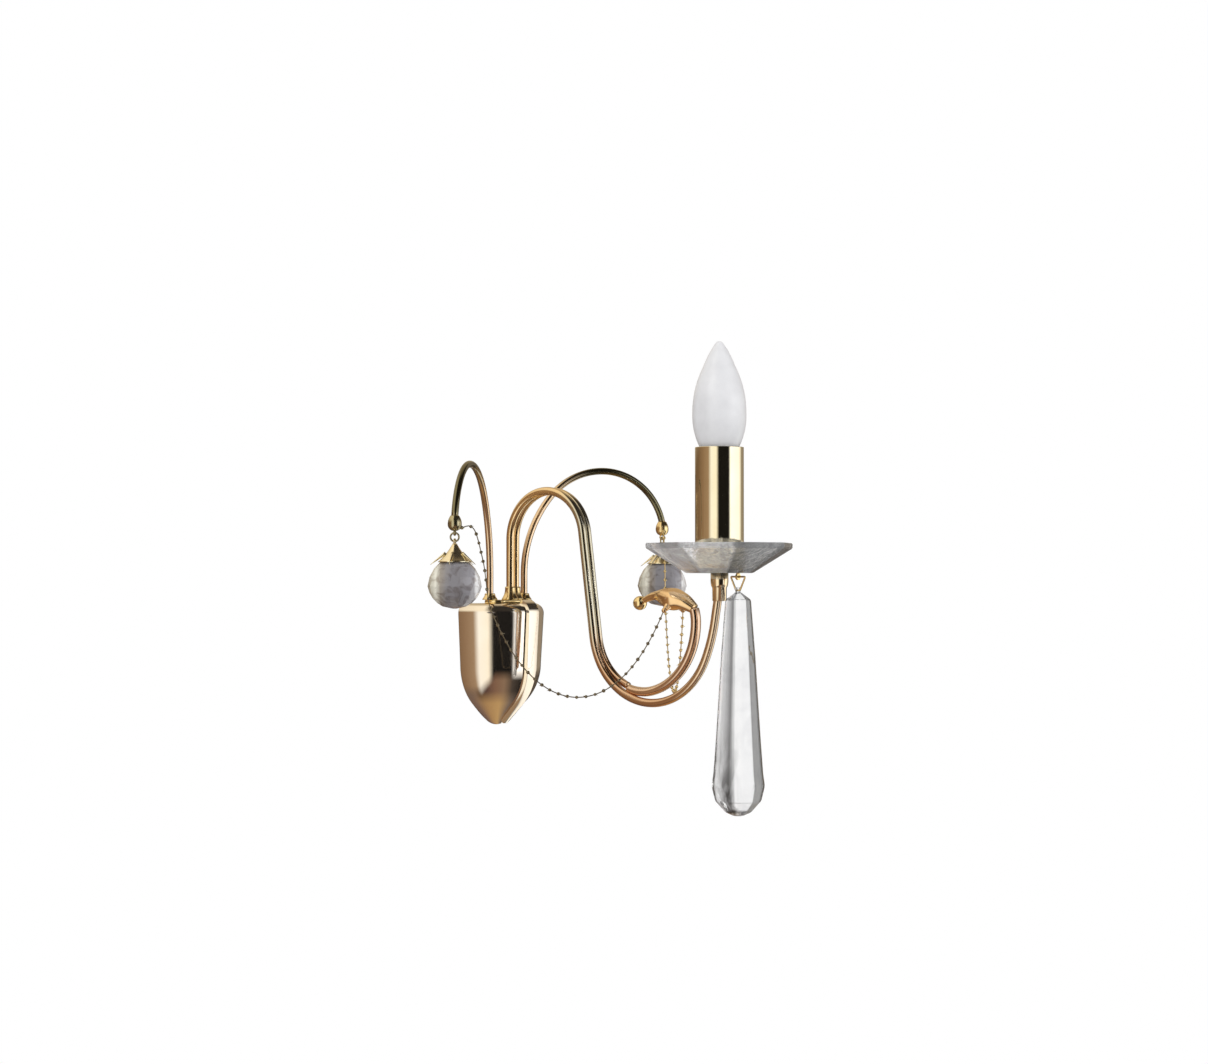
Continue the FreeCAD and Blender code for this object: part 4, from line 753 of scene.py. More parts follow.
# the painted dark shade in the drop's foot: how its streaks are drawn out, their fineness, the
# edge of their mask, and where they start and are full, as shares of the drop's height
FOOT_SHADE_STRETCH = (1.0, 1.0, 0.22)
FOOT_SHADE_SCALE = 170.0
FOOT_SHADE_EDGE = (0.36, 0.58)
FOOT_SHADE_REACH = (0.42, 0.10)
DISH_PAINTED_SHADE = (
    (-180, 1.0), (-126, 1.0), (-124, 0.90), (-82, 0.90), (-79, 1.0), (-60, 0.62),
    (-37, 0.66), (-34, 1.0), (8, 1.0), (11, 0.34), (53, 0.44), (57, 0.38), (98, 0.38),
    (102, 0.97), (180, 1.0))
ROUND_PAINTED_LIGHT = (
    (-1.0, (0.20, 0.17, 0.13)), (-0.93, (0.60, 0.56, 0.44)), (-0.66, (0.95, 0.92, 0.78)),
    (-0.48, (0.34, 0.30, 0.25)), (-0.25, (0.25, 0.24, 0.25)), (0.30, (0.25, 0.24, 0.25)),
    (0.60, (0.33, 0.32, 0.34)), (0.74, (0.42, 0.41, 0.43)), (0.80, (1.0, 1.0, 1.0)),
    (1.0, (1.0, 1.0, 1.0)))


PALETTE = {
    # painted reflection: the tones darken and colour stretches of the candle arm, olive on its
    # fall and copper round its low bend
    "arm_brass": lambda: metal(
        "ArmBrass", (0.90, 0.68, 0.40), (0.80, 0.58, 0.32), 0.10, depth=0.003,
        tones=((1, -0.064, -0.080, (0.66, 0.62, 0.50)), (2, 0.012, -0.012, (0.70, 0.46, 0.30)),
               (1, -0.160, -0.185, (0.82, 0.64, 0.46)))),
    # painted reflection: the crystal arms darken toward their tips
    "side_brass": lambda: metal(
        "SideBrass", (0.86, 0.66, 0.46), (0.74, 0.55, 0.38), 0.10, depth=0.003,
        tones=((0, 0.030, 0.060, (0.22, 0.20, 0.12)),)),
    "polished_brass": lambda: metal("PolishedBrass", (0.90, 0.74, 0.52), (0.84, 0.66, 0.44)),
    "body_brass": lambda: metal("BodyBrass", (0.92, 0.84, 0.74), (0.88, 0.78, 0.66), 0.08, 25.0),
    "sleeve_brass": lambda: metal("SleeveBrass", (0.92, 0.84, 0.64), (0.87, 0.78, 0.57), 0.045),
    "gold_brass": lambda: metal("GoldBrass", (0.92, 0.72, 0.38), (0.82, 0.60, 0.30), 0.12),
    "pale_gold": lambda: metal("PaleGold", (0.96, 0.86, 0.62), (0.88, 0.74, 0.48), 0.14),
    "copper_brass": lambda: metal("CopperBrass", (0.84, 0.62, 0.46), (0.72, 0.50, 0.36), 0.12,
                                  depth=0.004),
    "leaf_brass": lambda: metal("LeafBrass", (0.92, 0.66, 0.38), (0.84, 0.56, 0.30), 0.13),
    "aged_brass": lambda: metal("AgedBrass", (0.50, 0.45, 0.29), (0.30, 0.25, 0.15), 0.16),
    "dark_brass": lambda: metal("DarkBrass", (0.30, 0.26, 0.18), (0.16, 0.13, 0.09), 0.3, 300.0),
    "steel": lambda: metal("PlatedSteel", (0.66, 0.66, 0.68), (0.52, 0.52, 0.54), 0.3),
    "drop_crystal": lambda: glass(
        "DropCrystal", (1.0, 1.0, 1.0), (0.90, 0.90, 0.91), 0.01, 45.0, 0.06, 0.92,
        middle_of("crystal_drop"), DROP_PAINTED_SHADE, foot_shaded=True),
    "dish_crystal": lambda: glass(
        "DishCrystal", (1.0, 1.0, 1.0), (0.66, 0.67, 0.68), 0.03, 260.0, 0.35, 0.80,
        middle_of("drip_dish"), DISH_PAINTED_SHADE),
    "left_crystal": lambda: round_crystal("left"),
    "right_crystal": lambda: round_crystal("right"),
    "frosted_glass": lambda: dull("FrostedGlass", (0.72, 0.72, 0.73), (0.67, 0.67, 0.68),
                                  0.28, 0.2),
    "holder_plastic": lambda: dull("HolderPlastic", (0.90, 0.89, 0.85), (0.84, 0.83, 0.79)),
    "block_plastic": lambda: dull("BlockPlastic", (0.85, 0.84, 0.80), (0.78, 0.77, 0.73)),
    "lead_sleeve": lambda: dull("LeadSleeve", (0.32, 0.17, 0.09), (0.26, 0.13, 0.07)),
    "earth_sleeve": lambda: dull("EarthSleeve", (0.30, 0.48, 0.10), (0.80, 0.72, 0.12)),
    "cap_metal": lambda: metal("CapMetal", (0.82, 0.81, 0.78), (0.70, 0.69, 0.66), 0.25),
}
made_materials = {}


def wear(name):
    """The material of that name, made once."""
    if name not in made_materials:
        made_materials[name] = PALETTE[name]()
    return made_materials[name]


# ---------------------------------------------------------------- body

def bullet(body, inset):
    """Outline of the body's skin, inset from it, from its top middle to its tip."""
    diagonal = math.sqrt(0.5)
    radius = body.curve - inset
    tip = body.tip_round - inset
    shoulder_top = Vector((body.radius - body.shoulder, body.top - inset))
    shoulder_end = Vector((body.radius - inset, body.top - body.shoulder))
    waist = Vector((body.waist - inset, body.curve_top))
    side = Vector((body.waist - body.curve + radius * diagonal,
                   body.curve_top - radius * diagonal))
    tip_side = Vector((tip * diagonal, body.bottom + body.tip_round - tip * diagonal))
    tip_end = Vector((0.0, body.bottom + inset))
    parts = [[Vector((0.0, body.top - inset)), shoulder_top],
             arc(shoulder_top, shoulder_end, body.shoulder - inset, -1, 12),
             [shoulder_end.lerp(waist, step / 6) for step in range(1, 7)],
             arc(waist, side, radius, -1, 16),
             [tip_side],
             arc(tip_side, tip_end, tip, -1, 8)]
    return parts


def make_body():
    """The shell, cut off flat at the wall, and the raised band down its front."""
    body = sizes("body")
    centre = (0.0, -body.axis_out)
    outer = sum(bullet(body, 0.0), [])
    inner = sum(bullet(body, body.wall), [])
    shell = spun("BodyShell", outer + inner[::-1], centre, 144, closed=False)
    cut_off(shell, (0, 0, 0), (0, 1, 0))
    put(shell, ["body_shell"], wear("body_brass"))

    proud = sum(bullet(body, -body.band_proud)[1:-1], [])
    flush = sum(bullet(body, -HAIR)[1:-1], [])
    strip = spun("FrontBand", eased(proud + flush[::-1], 0.0004, 2), centre, 360)
    half = body.band_width / 2
    fall, narrowing = body.curve_top - body.bottom, (body.band_width - body.band_tip) / 2
    cut_off(strip, (0, centre[1], 0), (0, 1, 0))
    for _, sign in SIDES:
        cut_off(strip, (sign * half, 0, 0), (sign, 0, 0))
        cut_off(strip, (sign * half, 0, body.curve_top), (sign * fall, 0, -narrowing))
    ground(strip, 0.0006, 40.0)
    put(strip, ["front_band"], wear("body_brass"))


def make_plate():
    """The oval plate on the body's flat top."""
    body, arms = sizes("body"), sizes("arms")
    middle_out = (arms.out + arms.side_root_out) / 2
    straight = (body.plate_length - body.plate_breadth) / 2
    top = body.top + body.plate_thick
    around = 64
    rings = [(0.0, body.top), (0.0, top - 0.0007), (0.0002, top - 0.0002), (0.0007, top)]
    points = []
    for inset, height in rings:
        radius = body.plate_breadth / 2 - inset
        for step in range(around):
            turn = math.tau * (step + 0.5) / around
            shift = math.copysign(straight, math.cos(turn))
            points.append((shift + radius * math.cos(turn),
                           -middle_out + radius * math.sin(turn), height))
    plate = mesh_object("ArmPlate", points, grid_faces(len(rings), around, end_caps=True))
    put(plate, ["arm_plate"], wear("gold_brass"))


def collar(name, x, out, bore, foot, rim, height):
    """A flared ring on the plate, round one rod."""
    low = sizes("body").top + sizes("body").plate_thick + HAIR
    outline = [(bore, low), (foot, low), (foot, low + 0.0006)]
    outline += arc((foot - 0.0003, low + 0.0010), (rim, low + height), height * 1.4, -1, 8)
    outline += [(rim - 0.0004, low + height), (bore, low + height)]
    return spun(name, outline, (x, -out), 64)


def make_collars():
    """The collars that the arms stand in; the candle arm and the scroll rod share one."""
    arms = sizes("arms")
    rod = arms.side_rod / 2
    for side, sign in SIDES:
        ring = collar(side.title() + "Collar", sign * arms.side_root, arms.side_root_out,
                      rod + HAIR, 0.0052, rod + 0.0011, 0.0044)
        put(ring, [side + "_arm_collar"], wear("gold_brass"))
    pair = [collar("Flare", x, arms.out, bore, bore + foot, bore + 0.0009, 0.009)
            for x, bore, foot in ((0.0, arms.tube / 2, 0.0032),
                                  (arms.scroll_side, arms.scroll_rod / 2, 0.003))]
    put(joined("ClusterCollar", pair), ["cluster_collar"], wear("gold_brass"))


# ---------------------------------------------------------------- arms

def arm_route(arms, bend_radius, last_turn):
    """The candle arm's line up to the end of its bottom bend."""
    route = Route(arms.out, arms.low_end, math.pi / 2)
    route.to_height(arms.arch_top - arms.arch_radius)
    route.bend(arms.arch_radius, -(math.pi - arms.fall_lean), 48)
    route.to_height(arms.bend_low + arms.bend_radius * (1 - math.sin(arms.fall_lean)), 24)
    return route.bend(bend_radius, last_turn - arms.fall_lean, 48)


def make_candle_arm():
    """The candle arm and the rod that carries the scroll."""
    arms = sizes("arms")
    route = arm_route(arms, arms.bend_radius, math.pi - arms.rise_turn)
    route.bend(arms.rise_radius, arms.rise_turn - arms.rise_lean, 12)
    route.to_height(arms.lean_end, 8)
    route.bend(arms.straighten, arms.rise_lean, 8)
    route.to_height(arms.high_end, 2)
    put(tube("CandleArm", route.placed(), arms.tube / 2, 32), ["candle_arm"],
        wear("arm_brass"))
    rod = arm_route(arms, arms.scroll_bend, arms.scroll_turn)
    rod.points = [point for point in rod.points if point.x > arms.out + 1e-6
                  or point.y > sizes("body").top]
    put(tube("ScrollRod", rod.placed((arms.scroll_side, 0)), arms.scroll_rod / 2, 28),
        ["scroll_rod"], wear("arm_brass"))


# a crystal arm's bends, from its root: radius, and turn in degrees
SIDE_BENDS = ((0.085, 40), (0.051, 50), (0.046, 78))


def side_route(arms):
    """A crystal arm's line, from its root."""
    route = Route(0.0, arms.low_end, math.pi / 2).to_height(arms.side_rise)
    for radius, turn in SIDE_BENDS:
        route.bend(radius, -math.radians(turn))
    return route


def side_arm(sign):
    """A crystal arm's line in space, and the direction of its plane on the floor."""
    arms = sizes("arms")
    turn = -arms.side_turn if sign > 0 else math.pi + arms.side_turn
    origin = (sign * arms.side_root, -arms.side_root_out)
    return side_route(arms).placed(origin, turn), turn


def knob_outline(low):
    """The knob's outline from its foot, at that height, to its top."""
    arms = sizes("arms")
    radius, tall = arms.knob_radius, arms.knob_tall
    foot, belly = (radius * 0.62, low + 0.0007), (radius, low + tall * 0.42)
    head = (arms.side_rod / 2 + 0.0004, low + tall)
    outline = [(0.0, low), (radius * 0.4, low + 0.0001), foot]
    outline += arc(foot, belly, radius, 1, 8) + arc(belly, head, tall * 0.95, 1, 8)
    return outline + [(0.0, low + tall)]


def make_crystal_arms():
    """The two crystal arms and the knobs at their tips."""
    arms, scroll = sizes("arms"), sizes("scroll")
    for side, sign in SIDES:
        route, turn = side_arm(sign)
        put(tube(side.title() + "CrystalArm", route, arms.side_rod / 2, 24),
            [side + "_crystal_arm"], wear("side_brass"))
        tip = route[-1]
        low = tip.z + 0.001 - arms.knob_tall
        knob = spun("Knob", knob_outline(low), tip, 48, closed=False)
        eye = lug(Vector((tip.x, tip.y, low - 0.0012)), sides_of(turn)[0])
        away = Vector((sign * scroll.corner_side, -scroll.corner_out, 0)) - Vector(
            (tip.x, tip.y, 0))
        place = Vector((tip.x, tip.y, STUD_HEIGHT)) + away.normalized() * arms.knob_radius
        stud = ball("Stud", place, arms.stud_radius, around=16)
        colour = "gold_brass" if sign > 0 else "aged_brass"
        put(joined(side.title() + "Knob", [knob, eye, stud]), [side + "_tip_knob"],
            wear(colour))


# ---------------------------------------------------------------- scroll

# the scroll's fall at its cut end, its climb behind that and its tuck, in degrees
SCROLL_TURNS = (20, 12, 20)
# the leaf from top to stalk: sideways, out, height, half breadth and half thickness
LEAF_ROOT = (0.0038, 0.0031)
LEAF = (
    (0.0012, 0.1712, 0.0275, 0.0066, 0.0050), (0.0006, 0.1634, 0.0292, 0.0090, 0.0070),
    (0.0002, 0.1562, 0.0310, 0.0070, 0.0058), (0.0, 0.1500, 0.0317, 0.0036, 0.0034),
    (0.0, 0.1448, 0.0310, 0.0026, 0.0025), (0.0, 0.1385, 0.0285, 0.0020, 0.0020))


def scroll_route(scroll):
    """The scroll's line, from its cut end to its leaf."""
    fall, climb, tuck = (math.radians(turn) for turn in SCROLL_TURNS)
    start = (scroll.low_out - scroll.start_bend * (math.sin(fall) + math.sin(climb)),
             scroll.low + scroll.start_bend * (math.cos(climb) - math.cos(fall)))
    route = Route(*start, -fall)
    route.bend(scroll.start_bend, fall + climb, 16)
    route.bend(scroll.sweep, math.pi / 2 - climb, 32)
    return route.bend(scroll.tuck, tuck, 8)


def make_scroll():
    """The scroll's band, a little thinner at its cut end."""
    scroll = sizes("scroll")
    line = scroll_route(scroll).placed((scroll.shift, 0))
    shares = [min(1.0, 0.86 + 0.02 * step) for step in range(len(line))]
    sections = [(scroll.broad / 2 * share, scroll.thick / 2 * share) for share in shares]
    put(swept("ScrollBand", line, sections, 32), ["scroll_band"], wear("copper_brass"))


def make_leaf():
    """The leaf that the scroll ends in, with a corner and an eye on each side."""
    scroll = sizes("scroll")
    end = scroll_route(scroll).here
    rows = smoothed([(scroll.shift, end.x, end.y, *LEAF_ROOT), *LEAF], 8)
    pieces = [swept("Blade", [Vector((x, -out, height)) for x, out, height, _, _ in rows],
                    [(broad, thick) for _, _, _, broad, thick in rows], 40, square=0.75)]
    for _, sign in SIDES:
        corner = Vector((sign * scroll.corner_side, -scroll.corner_out, scroll.corner_height))
        root = Vector((sign * 0.004, -scroll.corner_out, 0.0265))
        pieces.append(taper_between("Corner", root, corner, 0.0034, 0.0013))
        pieces.append(ball("Eye", corner, scroll.eye_radius, around=20))
    put(joined("ScrollLeaf", pieces), ["scroll_leaf"], wear("leaf_brass"))


def make_ball():
    """The ball on the leaf's stalk."""
    put(ball("ScrollBall", centre_of("scroll_ball"), sizes("scroll").ball), ["scroll_ball"],
        wear("gold_brass"))


def taper_between(name, start, end, first, last, around=20):
    """A straight tapered rod."""
    axis = (end - start).normalized()
    across = axis.orthogonal().normalized()
    second = axis.cross(across)
    points = []
    for step in range(7):
        radius = first + (last - first) * step / 6
        middle = start.lerp(end, step / 6)
        for side in range(around):
            turn = math.tau * side / around
            points.append(middle + across * (radius * math.cos(turn))
                          + second * (radius * math.sin(turn)))
    return mesh_object(name, points, grid_faces(7, around, end_caps=True))


# ---------------------------------------------------------------- candle and dish

def turned_node(name, node, outline, material, around=96):
    """A turned piece on the candle's axis that stands for one solid."""
    piece = spun(name, outline, middle_of("candle_sleeve"), around)
    put(piece, [node], wear(material))


def ring_section(node, inner, outer):
    """The section of a solid that is a plain ring between two radii."""
    low, high = heights_of(node)
    return [(inner, low), (outer, low), (outer, high), (inner, high)]


def make_candle():
    """Ferrule, washer, seat and sleeve."""
    candle = sizes("candle")
    low, high = heights_of("ferrule")
    outline = [(0.0024, low), (0.0043, low), (0.0046, low + 0.0003), (0.0047, high - 0.0094)]
    outline += arc((0.0047, high - 0.0094), (0.0056, high - 0.007), 0.004, 1, 6)
    outline += [(0.0057, high - 0.0061), (0.0058, high - 0.0054), (0.0058, high),
                (0.0049, high), (0.0049, high - 0.006), (0.0024, high - 0.007)]
    turned_node("Ferrule", "ferrule", outline, "polished_brass")
    for name, node in (("DishWasher", "dish_washer"), ("SleeveSeat", "sleeve_seat")):
        start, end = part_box(node)
        ring = eased(ring_section(node, PIPE_HOLE, (end[0] - start[0]) / 2), 0.0004)
        turned_node(name, node, ring, "gold_brass")
    inner = candle.sleeve_radius - candle.sleeve_wall
    ring = eased(ring_section("candle_sleeve", inner, candle.sleeve_radius), 0.0003)
    turned_node("CandleSleeve", "candle_sleeve", ring, "sleeve_brass",
                around=160)


def bulb_skin(inset):
    """The bulb's outline from its foot to its tip, inset from its outside."""
    candle = sizes("candle")
    tip = candle.bulb_tip
    slope = math.radians(30)
    neck = (candle.bulb_neck - inset, candle.glass_low)
    belly = (0.0130 - inset, candle.glass_low + 0.0085)
    wide = (candle.bulb_radius - inset, candle.bulb_widest)
    high = (0.0102 - inset, candle.bulb_top - 0.016)
    near = ((tip - inset) * math.cos(slope),
            candle.bulb_top - tip + (tip - inset) * math.sin(slope))
    points = [Vector((candle.bulb_neck - inset, candle.glass_low - 0.006)), Vector(neck)]
    points += arc(neck, belly, 0.016, 1) + arc(belly, wide, 0.046, 1, 16)
    points += arc(wide, high, 0.066, 1, 20) + arc(high, near, 0.060, 1, 10)
    return points + arc(near, (0.0, candle.bulb_top - inset), tip - inset, 1, 8)


def make_bulb():
    """The bulb's frosted glass."""
    bulb = spun("BulbGlass", bulb_skin(0.0) + bulb_skin(GLASS_WALL)[::-1],
                middle_of("candle_sleeve"), closed=False)
    put(bulb, ["bulb_glass"], wear("frosted_glass"), "bulb")


def make_dish():
    """The faceted glass dish."""
    candle = sizes("candle")
    sides = 8
    low, high = heights_of("drip_dish")
    facet = candle.dish_wall / math.cos(math.pi / sides)
    flare = (candle.dish_rim - candle.dish_base) / (high - low)
    floor_radius = candle.dish_base + flare * candle.dish_floor - facet
    rings = [(DISH_HOLE, low), (candle.dish_base, low),
             (candle.dish_rim, high - candle.dish_lip), (candle.dish_rim, high),
             (candle.dish_rim - facet, high), (floor_radius, low + candle.dish_floor),
             (DISH_HOLE, low + candle.dish_floor)]
    points = ring_points(rings, middle_of("candle_sleeve"), sides, candle.dish_turn)
    dish = mesh_object("DripDish", points, grid_faces(len(rings), sides, loop=True),
                       smooth=False)
    ground(dish, candle.dish_bevel, 8.0)
    put(dish, ["drip_dish"], wear("dish_crystal"))


# ---------------------------------------------------------------- hanging pieces

def calyx(name, middle, eye, turn):
    """A pressed cone with an eye above it and five pointed sepals round its edge."""
    crystals = sizes("crystals")
    radius, gauge = crystals.calyx_radius, crystals.calyx_gauge
    top = eye.z - CALYX_DROP
    edge = top - crystals.calyx_tall
    outline = [(0.0, top - gauge * 1.4), (radius - gauge, edge),
               (radius - gauge * 0.5, edge - HAIR), (radius, edge)]
    outline += arc((radius, edge), (0.0014, top), 0.04, -1, 10)
    bits = [spun("Cone", outline + [(0.0, top)], middle, 64, closed=False),
            lug(eye, sides_of(turn)[0])]
    for number in range(5):
        outward = sides_of(math.tau * number / 5 + turn)[0]
        root = Vector((middle.x, middle.y, edge + 0.0058)) + outward * (radius - 0.0052)
        direction = (outward * 0.80 - UP * 0.60).normalized()
        bits.append(taper_between("Sepal", root, root + direction * 0.0125,
                                  0.0011, 0.00015, 12))
    return joined(name, bits)


def round_stone(side, middle, edge, turn):
    """A round crystal cut in flat facets, its neck inside the calyx."""
    crystals = sizes("crystals")
    foot, head = heights_of(side + "_crystal")
    wide = crystals.round_radius
    neck = crystals.calyx_radius - crystals.calyx_gauge - 0.0009
    brim, waist = (neck, edge + 0.0002), (wide, foot + 0.0145)
    profile = [(0.0006, head), (neck * 0.5, (head + edge) / 2), brim]
    profile += arc(brim, waist, wide * 1.3, -1, 3)
    profile += arc(waist, (wide * 0.45, foot + 0.0015), wide * 1.02, -1, 4)
    profile.append((0.0012, foot + 0.00002))
    return prism(side.title() + "Crystal", profile, middle, 14, turn, 0.0003)


def make_pendants():
    """Ring, calyx and round crystal, on each side."""
    crystals = sizes("crystals")
    for side, sign in SIDES:
        body = side + "_pendant"
        _, turn = side_arm(sign)
        middle = centre_of(side + "_hanging_ring")
        loop = hoop(middle, -sides_of(turn)[1], crystals.ring_radius, 40)
        put(tube(side.title() + "Ring", loop, crystals.ring_wire, 12, loop=True),
            [side + "_hanging_ring"], wear("aged_brass"), body)
        eye = middle - UP * crystals.ring_radius
        put(calyx(side.title() + "Calyx", middle, eye, turn), [side + "_calyx"],
            wear("pale_gold"), body)
        edge = eye.z - CALYX_DROP - crystals.calyx_tall
        put(round_stone(side, middle, edge, turn), [side + "_crystal"],
            wear(side + "_crystal"), body)


def make_link():
    """The triangular link that the long drop hangs from."""
    crystals = sizes("crystals")
    wire = crystals.ring_wire
    middle = centre_of("drop_link")
    foot, head = heights_of("drop_link")
    half, narrow = crystals.link_width / 2, 0.0015
    corners = eased([(-half, head - wire), (half, head - wire), (narrow, foot + wire),
                     (-narrow, foot + wire)], 0.0009, 4)
    loop = []
    for index, corner in enumerate(corners):
        following = corners[(index + 1) % len(corners)]
        steps = max(1, int((following - corner).length / 0.0008))
        loop += [corner.lerp(following, step / steps) for step in range(steps)]
    line = [Vector((middle.x, middle.y + point.x, point.y)) for point in loop]
    put(tube("DropLink", line, wire, 14, loop=True), ["drop_link"], wear("gold_brass"),
        "drop")


# the tongue's corners, sideways and out from the drop's axis
TONGUE = ((-0.0022, -0.0008), (0.0022, -0.0008), (0.0022, 0.0008), (-0.0022, 0.0008))


def make_drop():
    """The long drop and the tongue at its head."""
    crystals = sizes("crystals")
    centre = middle_of("crystal_drop")
    foot, head = heights_of("crystal_drop")
    rings = [(0.0018, head - 0.0032), (crystals.drop_shoulder, head - 0.0081), (0.0113, -0.008),
             (0.0146, -0.060), (0.0162, -0.082), (crystals.drop_radius, -0.090),
             (0.0150, -0.0995), (0.0084, -0.1068), (0.0032, foot + 0.0001)]
    cut = prism("Drop", rings, centre, 12, math.radians(15), 0.0005)
    points = [(centre[0] + x, centre[1] + y, height) for height in (head - 0.005, head)
              for x, y in TONGUE]
    tongue = mesh_object("Tongue", points, grid_faces(2, 4, end_caps=True), smooth=False)
    ground(tongue, 0.0003, 30.0)
    put(joined("CrystalDrop", [cut, tongue]), ["crystal_drop"], wear("drop_crystal"),
        "drop")


# ---------------------------------------------------------------- garlands

def bead_tree():
    """Geometry nodes: a string along a curve with beads and small leaves on it."""
    tree = bpy.data.node_groups.new("BeadString", "GeometryNodeTree")
    tree.interface.new_socket("Geometry", in_out="INPUT", socket_type="NodeSocketGeometry")
    for label, default in (("Pitch", 0.006), ("Bead Radius", 0.00125), ("Wire Radius", 0.00035),
                           ("Leaf Length", 0.0021)):
        socket = tree.interface.new_socket(label, in_out="INPUT", socket_type="NodeSocketFloat")
        socket.default_value = default
        socket.min_value = 0.0
    tree.interface.new_socket("Seed", in_out="INPUT", socket_type="NodeSocketInt")
    tree.interface.new_socket("Material", in_out="INPUT", socket_type="NodeSocketMaterial")
    tree.interface.new_socket("Geometry", in_out="OUTPUT", socket_type="NodeSocketGeometry")
    source, sink = tree.nodes.new("NodeGroupInput"), tree.nodes.new("NodeGroupOutput")
    curve = source.outputs["Geometry"]

    ring = add(tree, "GeometryNodeCurvePrimitiveCircle",
               {"Resolution": 8, "Radius": source.outputs["Wire Radius"]})
    string = add(tree, "GeometryNodeCurveToMesh",
                 {"Curve": curve, "Profile Curve": ring.outputs["Curve"], "Fill Caps": True})
    dots = add(tree, "GeometryNodeCurveToPoints",
               {"Curve": curve, "Length": source.outputs["Pitch"]}, mode="LENGTH")
    bead = add(tree, "GeometryNodeMeshUVSphere",
               {"Segments": 10, "Rings": 7, "Radius": source.outputs["Bead Radius"]})
    varied = add(tree, "FunctionNodeRandomValue",
                 {2: 0.8, 3: 1.0, "Seed": source.outputs["Seed"]}, data_type="FLOAT")
    beads = add(tree, "GeometryNodeInstanceOnPoints",
                {"Points": dots.outputs["Points"], "Instance": bead.outputs["Mesh"],
                 "Rotation": dots.outputs["Rotation"], "Scale": varied.outputs[1]})
    leaf = add(tree, "GeometryNodeMeshCone",
               {"Vertices": 6, "Radius Top": 0.00008, "Radius Bottom": 0.00045,
                "Depth": source.outputs["Leaf Length"]})
    tilt = add(tree, "FunctionNodeRandomValue",
               {0: (0.9, -0.4, 0.0), 1: (1.9, 0.4, 6.28), "Seed": source.outputs["Seed"]},
               data_type="FLOAT_VECTOR")
    leaves = add(tree, "GeometryNodeInstanceOnPoints",
                 {"Points": dots.outputs["Points"], "Instance": leaf.outputs["Mesh"],
                  "Rotation": tilt.outputs[0]})
    whole = add(tree, "GeometryNodeJoinGeometry")
    for made in (leaves, beads):
        tree.links.new(made.outputs["Instances"], whole.inputs[0])
    tree.links.new(string.outputs["Mesh"], whole.inputs[0])
    real = add(tree, "GeometryNodeRealizeInstances", {"Geometry": whole.outputs[0]})
    dressed = add(tree, "GeometryNodeSetMaterial",
                  {"Geometry": real.outputs[0], "Material": source.outputs["Material"]})
    tree.links.new(dressed.outputs[0], sink.inputs[0])
    return tree


# over the calyx and down the crystal: distance from the arm's tip, and height
OVER_CRYSTAL = (
    (0.0046, STUD_HEIGHT), (0.0090, 0.0772), (0.0120, 0.0756), (0.0139, 0.0720),
    (0.0157, 0.0660), (0.0172, 0.0595), (0.0188, 0.0525), (0.0199, 0.0450),
    (0.0207, 0.0380), (0.0217, 0.0308))
HANG_FROM = 0.023
HANG_STEPS = 30
# finish and slot
GARLAND_COLOURS = {"left": ("dark_brass", "aged_brass"), "right": ("gold_brass", "gold_brass")}


def garland_line(sign):
    """Points along a garland: over the calyx and the crystal, then a hanging curve."""
    garlands, scroll = sizes("garlands"), sizes("scroll")
    route, _ = side_arm(sign)
    tip = Vector((route[-1].x, route[-1].y, 0))
    corner = Vector((sign * scroll.corner_side, -scroll.corner_out, 0))
    level = (corner - tip).normalized()
    span = (corner - tip).length
    rows = list(OVER_CRYSTAL)
    for step in range(HANG_STEPS + 1):
        run = HANG_FROM + (span - HANG_FROM) * step / HANG_STEPS
        rise = garlands.sag * (math.cosh((run - garlands.low_run) / garlands.sag) - 1)
        rows.append((run, garlands.low + rise))
    return [tip + level * run + UP * height for run, height in smoothed(rows, 3)]


def line_curve(name, line):
    """A curve through the points."""
    curve = bpy.data.curves.new(name, "CURVE")
    curve.dimensions = "3D"
    spline = curve.splines.new("POLY")
    spline.points.add(len(line) - 1)
    for point, place in zip(spline.points, line):
        point.co = (*place, 1.0)
    return curve


def make_garlands():
    """The two bead garlands, from geometry nodes."""
    garlands = sizes("garlands")
    tree = bead_tree()
    inputs = {item.name: item.identifier for item in tree.interface.items_tree
              if item.in_out == "INPUT"}
    for side, sign in SIDES:
        name = side.title() + "Garland"
        colour, slot = GARLAND_COLOURS[side]
        carrier = linked(side + "_carrier", line_curve(side + "_line", garland_line(sign)))
        modifier = carrier.modifiers.new("Beads", "NODES")
        modifier.node_group = tree
        for label, value in (("Pitch", garlands.pitch), ("Bead Radius", garlands.bead),
                             ("Wire Radius", garlands.wire), ("Leaf Length", garlands.barb),
                             ("Seed", 3 + sign), ("Material", wear(colour))):
            modifier[inputs[label]] = value
        bpy.context.view_layer.update()
        graph = bpy.context.evaluated_depsgraph_get()
        mesh = bpy.data.meshes.new_from_object(carrier.evaluated_get(graph))
        bpy.data.objects.remove(carrier)
        mesh.name = name
        mesh.polygons.foreach_set("use_smooth", [True] * len(mesh.polygons))
        put(linked(name, mesh), [side + "_garland"], wear(colour))


# ---------------------------------------------------------------- solids that stay

KEPT = {
    "steel": ("wall_bracket", "cover_screws", "earth_screw", "terminal_screws", "arm_nuts",
              "arm_washers", "holder_nut"),
    "block_plastic": ("terminal_block",),
    "holder_plastic": ("lamp_holder",),
    "gold_brass": ("nipple", "holder_contact", "drop_pin"),
    "cap_metal": ("bulb_cap", "bulb_contact"),
    "lead_sleeve": ("arm_leads",),
    "earth_sleeve": ("earth_lead",),
}


def dress_solids():
    """Gives the solids that stay their materials."""
    for colour, nodes in KEPT.items():
        for node in nodes:
            piece = frame["nodes"][node]
            for slot in piece.material_slots:
                slot.material = wear(colour)


# ---------------------------------------------------------------- studio

